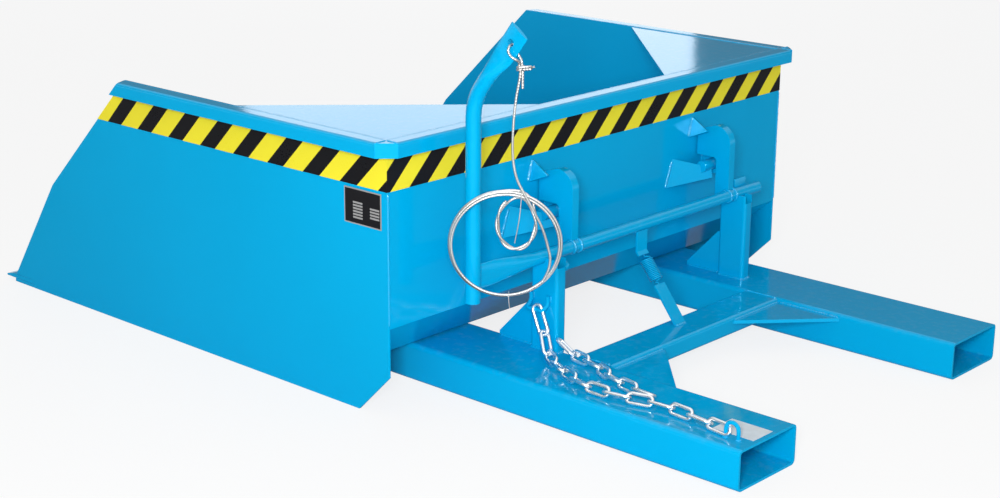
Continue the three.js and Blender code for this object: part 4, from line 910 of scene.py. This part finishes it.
SHAFT_Y = -0.400
SHAFT_Z = 0.275
SHAFT_RADIUS = 0.01345
ARM_SEAM_OUT = 0.004
ARM_SEAM_DROP = 0.0130
LEVER_FACE = -0.4978
LEVER_SEAM_OUT = 0.0055
LEVER_SEAM_REACH = 0.0235

release_beads = []
for name in ("hook_left", "hook_right"):
    low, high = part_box(name)
    for x in (low.x, high.x):
        release_beads.append(ring_run((x, SHAFT_Y, SHAFT_Z), SHAFT_RADIUS, (1, 0, 0)))
low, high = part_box("spring_arm")
for y in (SHAFT_Y - ARM_SEAM_OUT, SHAFT_Y + ARM_SEAM_OUT):
    release_beads.append([(x, y, SHAFT_Z - ARM_SEAM_DROP) for x in (low.x, high.x)])
for y in (SHAFT_Y - LEVER_SEAM_OUT, SHAFT_Y + LEVER_SEAM_OUT):
    ends = (SHAFT_Z - LEVER_SEAM_REACH, SHAFT_Z + LEVER_SEAM_REACH)
    release_beads.append([(LEVER_FACE, y, z) for z in ends])
weld_runs("weld_release", "release", release_beads)

# Shaft stop: a short flat steel bar, welded on edge on top of the shaft just outside the
# right hook, with its upper edges and its ends bevelled.

STOP_ENDS = (0.358, 0.401)
STOP_FRONT = 0.008
STOP_SINK = 0.001
STOP_FOOT = SHAFT_Z + SHAFT_RADIUS - STOP_SINK
STOP_TALL = 0.019
STOP_THICK = 0.006
STOP_ROUNDING = 0.0012
STOP_TRIM = 0.86
STOP_OUTLINE = [(-0.5, 0.0), (0.5, 0.0), (0.5, 0.86), (0.3, 1.0), (-0.3, 1.0), (-0.5, 0.86)]

left_end, right_end = STOP_ENDS
stop_rings = (left_end, left_end + STOP_ROUNDING, right_end - STOP_ROUNDING, right_end)
stop_shape = ([], [])
for x in stop_rings:
    trim = STOP_TRIM if x in STOP_ENDS else 1.0
    for across, up in STOP_OUTLINE:
        y = SHAFT_Y + STOP_FRONT + STOP_THICK * across * trim
        stop_shape[0].append((x, y, STOP_FOOT + STOP_TALL * up * trim))
sides = len(STOP_OUTLINE)
for ring in range(len(stop_rings) - 1):
    for i in range(sides):
        low, high = ring * sides + i, ring * sides + (i + 1) % sides
        stop_shape[1].append((low, low + sides, high + sides, high))
stop_shape[1].append(tuple(range(sides)))
stop_shape[1].append(tuple(reversed(range(len(stop_shape[0]) - sides, len(stop_shape[0])))))
make_piece("shaft_stop", stop_shape, "release", PAINT, sharp=30)

# Bucket shell: two side plates of sheet steel, with a back, bevel, floor and ramp of folded
# sheet in between, welded in the corners from inside and up the back from outside.

SHELL = ["side_panel_left", "side_panel_right", "back_wall", "bevel_plate", "floor_plate", "floor_ramp"]
SEAM_INSET = 0.003
BACK_SEAM_FOOT = 0.190
OUTER_SEAM_HEAD = 0.4515
INNER_SEAM_HEAD = 0.545
RAMP_SEAM_END = 0.011

dress(SHELL, PAINT, round_edges=0.0008)
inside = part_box("side_panel_right")[0].x
wall_low, wall_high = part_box("back_wall")
floor_low, floor_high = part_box("floor_plate")
ramp_low, ramp_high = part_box("floor_ramp")
shell_beads = pair(inside + SEAM_INSET, (wall_low.y, BACK_SEAM_FOOT), (wall_low.y, OUTER_SEAM_HEAD))
shell_beads += pair(
    inside,
    (wall_high.y, INNER_SEAM_HEAD),
    (wall_high.y, BACK_SEAM_FOOT),
    (floor_low.y + SEAM_INSET, floor_high.z),
    (floor_high.y, floor_high.z),
    (ramp_high.y, ramp_low.z + RAMP_SEAM_END),
)
weld_runs("weld_shell", "bucket", shell_beads, wide=0.0021)

# Lip: a bevelled cutting edge of thick flat bar, welded on the ramp along its rear edge, with
# a flat wear strip under it.

LIP_SEAM_END = 0.01

dress(["cutting_edge", "wear_strip"], PAINT, round_edges=0.0012)
low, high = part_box("cutting_edge")
ends = (low.x + LIP_SEAM_END, high.x - LIP_SEAM_END)
weld_runs("weld_lip", "bucket", [[(x, low.y, high.z) for x in ends]])

# Rim: sheet folded outwards and down along the left, back and right, with a slanted corner
# piece at the rear corners, and a flat triangle inside each rear corner.

RIM = ["rim_left", "rim_right", "rim_back", "rim_corner_left", "rim_corner_right"]
TRIANGLE_SEAM_END = 0.006
RIM_TOP = 0.555
PANEL_OUTSIDE = 0.650
CORNER_SEAM = (0.002, 0.028)

dress(RIM, PAINT, round_edges=0.0016)
dress(["corner_plate_left", "corner_plate_right"], PAINT, round_edges=0.0008)
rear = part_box("rim_right")[0].y
low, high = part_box("corner_plate_right")
rim_beads = pair(high.x, (low.y + TRIANGLE_SEAM_END, high.z), (high.y - TRIANGLE_SEAM_END, high.z))
for side in (-1, 1):
    ends = (side * (high.x - TRIANGLE_SEAM_END), side * (low.x + TRIANGLE_SEAM_END))
    rim_beads.append([(x, low.y, high.z) for x in ends])
    rim_beads.append([(side * (PANEL_OUTSIDE + out), rear, RIM_TOP) for out in CORNER_SEAM])
    rim_beads.append([(side * PANEL_OUTSIDE, rear - out, RIM_TOP) for out in CORNER_SEAM])
weld_runs("weld_rim", "bucket", rim_beads, wide=0.0016)

# Catches: in front of each hook a round pin held by a slanted wing and a cheek plate, with a
# small triangle above, all welded to the back wall.

CATCH_PARTS = ["catch_pin", "catch_cheek", "catch_wing", "catch_gusset"]
TOUCHING = 0.0006

catch_nodes = [f"{part}_{side}" for part in CATCH_PARTS for side in ("left", "right")]
dress(catch_nodes, PAINT, round_edges=0.0009)
catch_beads = []
for side in ("left", "right"):
    for part in ("catch_wing", "catch_gusset", "catch_cheek"):
        place = nodes[f"{part}_{side}"].data.vertices
        root = max(v.co.y for v in place)
        touching = [v.co for v in place if v.co.y > root - TOUCHING]
        low, high = min(v.z for v in touching), max(v.z for v in touching)
        middle = (low + high) / 2
        feet = [v for v in touching if v.z < middle]
        heads = [v for v in touching if v.z > middle]
        for pick in (min, max):
            foot, head = (pick(group, key=lambda v: v.x) for group in (feet, heads))
            catch_beads.append([(foot.x, root, foot.z), (head.x, root, head.z)])
weld_runs("weld_catches", "bucket", catch_beads, wide=0.0034)

# Tilt ears: thick steel plates welded under the two sides of the floor, each with a bore that
# turns on its pivot pin.

dress(["tilt_ear_left", "tilt_ear_right"], PAINT, round_edges=0.0008)

# Warning tape: thin plastic film, yellow with slanted black bars, stuck in one band round the
# bucket's back and sides under the rim.

YELLOW = (0.80, 0.70, 0.03, 1)
BLACK = (0.008, 0.008, 0.010, 1)
FILM_SHINE = {"Specular IOR Level": 0.15}
SIDE_PITCH = 0.1051
SIDE_BAR_SHARE = 0.457
SIDE_START = 1.0345
BACK_PITCH = 0.1
BACK_BAR_SHARE = 0.5
BACK_START = 0.053


def chosen(tree, share, under, over):
    """The value under, with a share of the value over."""
    return add_node(tree, "Mix", {"Factor": share, 2: under, 3: over}).outputs[0]


TAPE, tree = new_material("slanted yellow and black film")
texture = add_node(tree, "TexCoord")
place = add_node(tree, "SeparateXYZ", {0: texture.outputs["Object"]}).outputs
facing = add_node(tree, "SeparateXYZ", {0: texture.outputs["Normal"]}).outputs
on_side = maths(tree, "GREATER_THAN", maths(tree, "ABSOLUTE", facing["X"]), 0.5)
lean = maths(tree, "MULTIPLY", place["Z"], maths(tree, "SIGN", place["X"]))
side_run = maths(tree, "ADD", maths(tree, "SUBTRACT", place["Y"], lean), SIDE_START)
side_share = maths(tree, "FRACT", maths(tree, "DIVIDE", side_run, SIDE_PITCH))
side_bar = maths(tree, "LESS_THAN", side_share, SIDE_BAR_SHARE)
back_run = maths(tree, "SUBTRACT", maths(tree, "SUBTRACT", place["X"], place["Z"]), BACK_START)
back_share = maths(tree, "FRACT", maths(tree, "DIVIDE", back_run, BACK_PITCH))
back_bar = maths(tree, "LESS_THAN", back_share, BACK_BAR_SHARE)
bars = mixed(tree, chosen(tree, on_side, back_bar, side_bar), YELLOW, BLACK)
skin = mottled(tree, bars, cloud=9.0, grain=300.0, tone=0.14, roughness=0.32, spread=0.2)
finish_material(tree, skin, depth=0.0003, strength=0.3, shader=FILM_SHINE)
dress(["hazard_tape"], TAPE)

# Type plate: a thin black plate fixed flat on the bucket's left side, with a pale border and
# rows of pale empty fields printed on it, and no lettering.

PLATE_BLACK = (0.010, 0.010, 0.012, 1)
FIELD_PALE = (0.30, 0.30, 0.30, 1)
FIELD_ROWS = 12.0
ROW_SHARE = 0.6
LEFT_FIELDS = ((0.24, 0.50), (0.165, 0.66))
RIGHT_FIELDS = ((0.70, 0.95), (0.25, 0.58))
INSIDE_BORDER = ((0.025, 0.975), (0.035, 0.965))

PLATE, tree = new_material("black plate with empty fields")
low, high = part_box("type_plate")
place = add_node(tree, "SeparateXYZ", {0: add_node(tree, "TexCoord").outputs["Object"]}).outputs
across = ranged(tree, place["Y"], high.y, low.y)
upward = ranged(tree, place["Z"], low.z, high.z)


def between(value, start, end):
    past_start = maths(tree, "GREATER_THAN", value, start)
    return maths(tree, "MULTIPLY", past_start, maths(tree, "LESS_THAN", value, end))


def rectangle(wide, tall):
    """A mask of one rectangle, in shares of the plate's width and height."""
    return maths(tree, "MULTIPLY", between(across, *wide), between(upward, *tall))


row = maths(tree, "FRACT", maths(tree, "MULTIPLY", upward, FIELD_ROWS))
both_fields = maths(tree, "MAXIMUM", rectangle(*LEFT_FIELDS), rectangle(*RIGHT_FIELDS))
fields = maths(tree, "MULTIPLY", maths(tree, "LESS_THAN", row, ROW_SHARE), both_fields)
marks = maths(tree, "MAXIMUM", fields, maths(tree, "SUBTRACT", 1.0, rectangle(*INSIDE_BORDER)))
face = mixed(tree, marks, PLATE_BLACK, FIELD_PALE)
skin = mottled(tree, face, cloud=40.0, grain=700.0, tone=0.2, roughness=0.36, spread=0.2)
skin["Height"] = marks
finish_material(tree, skin, depth=0.0002, strength=0.4, shader=FILM_SHINE)
dress(["type_plate"], PLATE, round_edges=0.0003)

# Pocket label: a pale plastic sticker with nothing on it, stuck on the left pocket, slightly
# worn and creased.

STICKER_PALE = (0.66, 0.72, 0.76, 1)

LABEL, tree = new_material("blank pale sticker")
skin = mottled(tree, STICKER_PALE, cloud=45.0, grain=260.0, tone=0.35, roughness=0.42, spread=0.2)
finish_material(tree, skin, depth=0.0006, strength=0.4, shader=FILM_SHINE)
dress(["pocket_label"], LABEL)

# Studio: a white floor and room, one lamp close to the camera and a pale panel of light far
# behind the bucket. Gloss shows the floor and the ceiling darker than the walls, and the side
# that the camera stands on and a field straight overhead brighter.

FLOOR_HALF = 30
FLOOR_DROP = 0.0006
FLOOR_GLOW = 0.82
FLOOR_MIRRORED = 0.13
ROOM_LEVEL = 0.52
CEILING_SHOWN = 0.16
OVERHEAD_SHOWN = 1.1
NEAR_SIDE_SHOWN = 1.1
FLOOR_BAND = (-0.20, -0.03)
CEILING_BAND = (0.02, 0.16)
OVERHEAD_BAND = (0.42, 0.6)
NEAR_SIDE_BAND = (-0.8, -1.25)

FLOOR, tree = new_material("white floor")
ground = add_node(
    tree,
    "BsdfPrincipled",
    {"Base Color": (0.9, 0.9, 0.9, 1), "Roughness": 0.7, "Specular IOR Level": 0.0},
)
glow = add_node(tree, "Emission", {"Color": (1, 1, 1, 1), "Strength": 1.0})
seen = add_node(tree, "LightPath").outputs
share = maths(tree, "MULTIPLY", seen["Is Camera Ray"], FLOOR_GLOW)
lit = add_node(tree, "MixShader", {0: share, 1: ground.outputs[0], 2: glow.outputs[0]})
clear = add_node(tree, "BsdfTransparent")
both = add_node(tree, "MixShader", {0: seen["Is Glossy Ray"], 1: lit.outputs[0], 2: clear.outputs[0]})
end = add_node(tree, "OutputMaterial")
tree.links.new(both.outputs[0], end.inputs["Surface"])
corners = [(-1, -1), (1, -1), (1, 1), (-1, 1)]
floor_shape = ([(x * FLOOR_HALF, y * FLOOR_HALF, -FLOOR_DROP) for x, y in corners], [(0, 1, 2, 3)])
studio_floor = make_mesh("studio_floor", floor_shape, FLOOR)

world = bpy.data.worlds.new("white room")
scene.world = world
world.use_nodes = True
tree = world.node_tree
tree.nodes.clear()
seen = add_node(tree, "LightPath").outputs
way = add_node(tree, "SeparateXYZ", {0: add_node(tree, "TexCoord").outputs["Generated"]}).outputs
below = ranged(tree, way["Z"], *FLOOR_BAND, FLOOR_MIRRORED, 1.0)
above = ranged(tree, way["Z"], *CEILING_BAND, 1.0, CEILING_SHOWN)
overhead = ranged(tree, way["Z"], *OVERHEAD_BAND, 0.0, OVERHEAD_SHOWN)
near_side = ranged(tree, maths(tree, "ADD", way["X"], way["Y"]), *NEAR_SIDE_BAND, 0.0, NEAR_SIDE_SHOWN)
walls = maths(tree, "MINIMUM", above, below)
mirrored = maths(tree, "MAXIMUM", walls, maths(tree, "MAXIMUM", near_side, overhead))
unseen = chosen(tree, seen["Is Camera Ray"], ROOM_LEVEL, 1.0)
shown = maths(tree, "MAXIMUM", seen["Is Glossy Ray"], seen["Is Transmission Ray"])
level = chosen(tree, shown, unseen, mirrored)
room = add_node(tree, "Background", {"Color": (1, 1, 1, 1), "Strength": level})
end = add_node(tree, "OutputWorld")
tree.links.new(room.outputs[0], end.inputs["Surface"])


def soft_lamp(name, place, target, size, power, colour=(1, 1, 1)):
    """A flat panel of light that shines at the target and is not seen itself."""
    lamp = bpy.data.lights.new(name, "AREA")
    lamp.shape = "RECTANGLE"
    lamp.size, lamp.size_y = size
    lamp.energy = power
    lamp.color = colour
    held = bpy.data.objects.new(name, lamp)
    scene.collection.objects.link(held)
    held.location = place
    aim = Vector(target) - Vector(place)
    held.rotation_euler = aim.to_track_quat("-Z", "Y").to_euler()
    held.visible_camera = False


soft_lamp("camera_lamp", place=(-3.05, -2.55, 1.5), target=(0, 0.2, 0.3), size=(0.7, 0.7), power=112)
soft_lamp(
    "blue_panel",
    place=(4.55, 4.35, 2.0),
    target=(-0.1, -0.1, 0.55),
    size=(2.6, 1.3),
    power=21,
    colour=(0.82, 0.90, 1.0),
)

scene.view_settings.view_transform = "Standard"
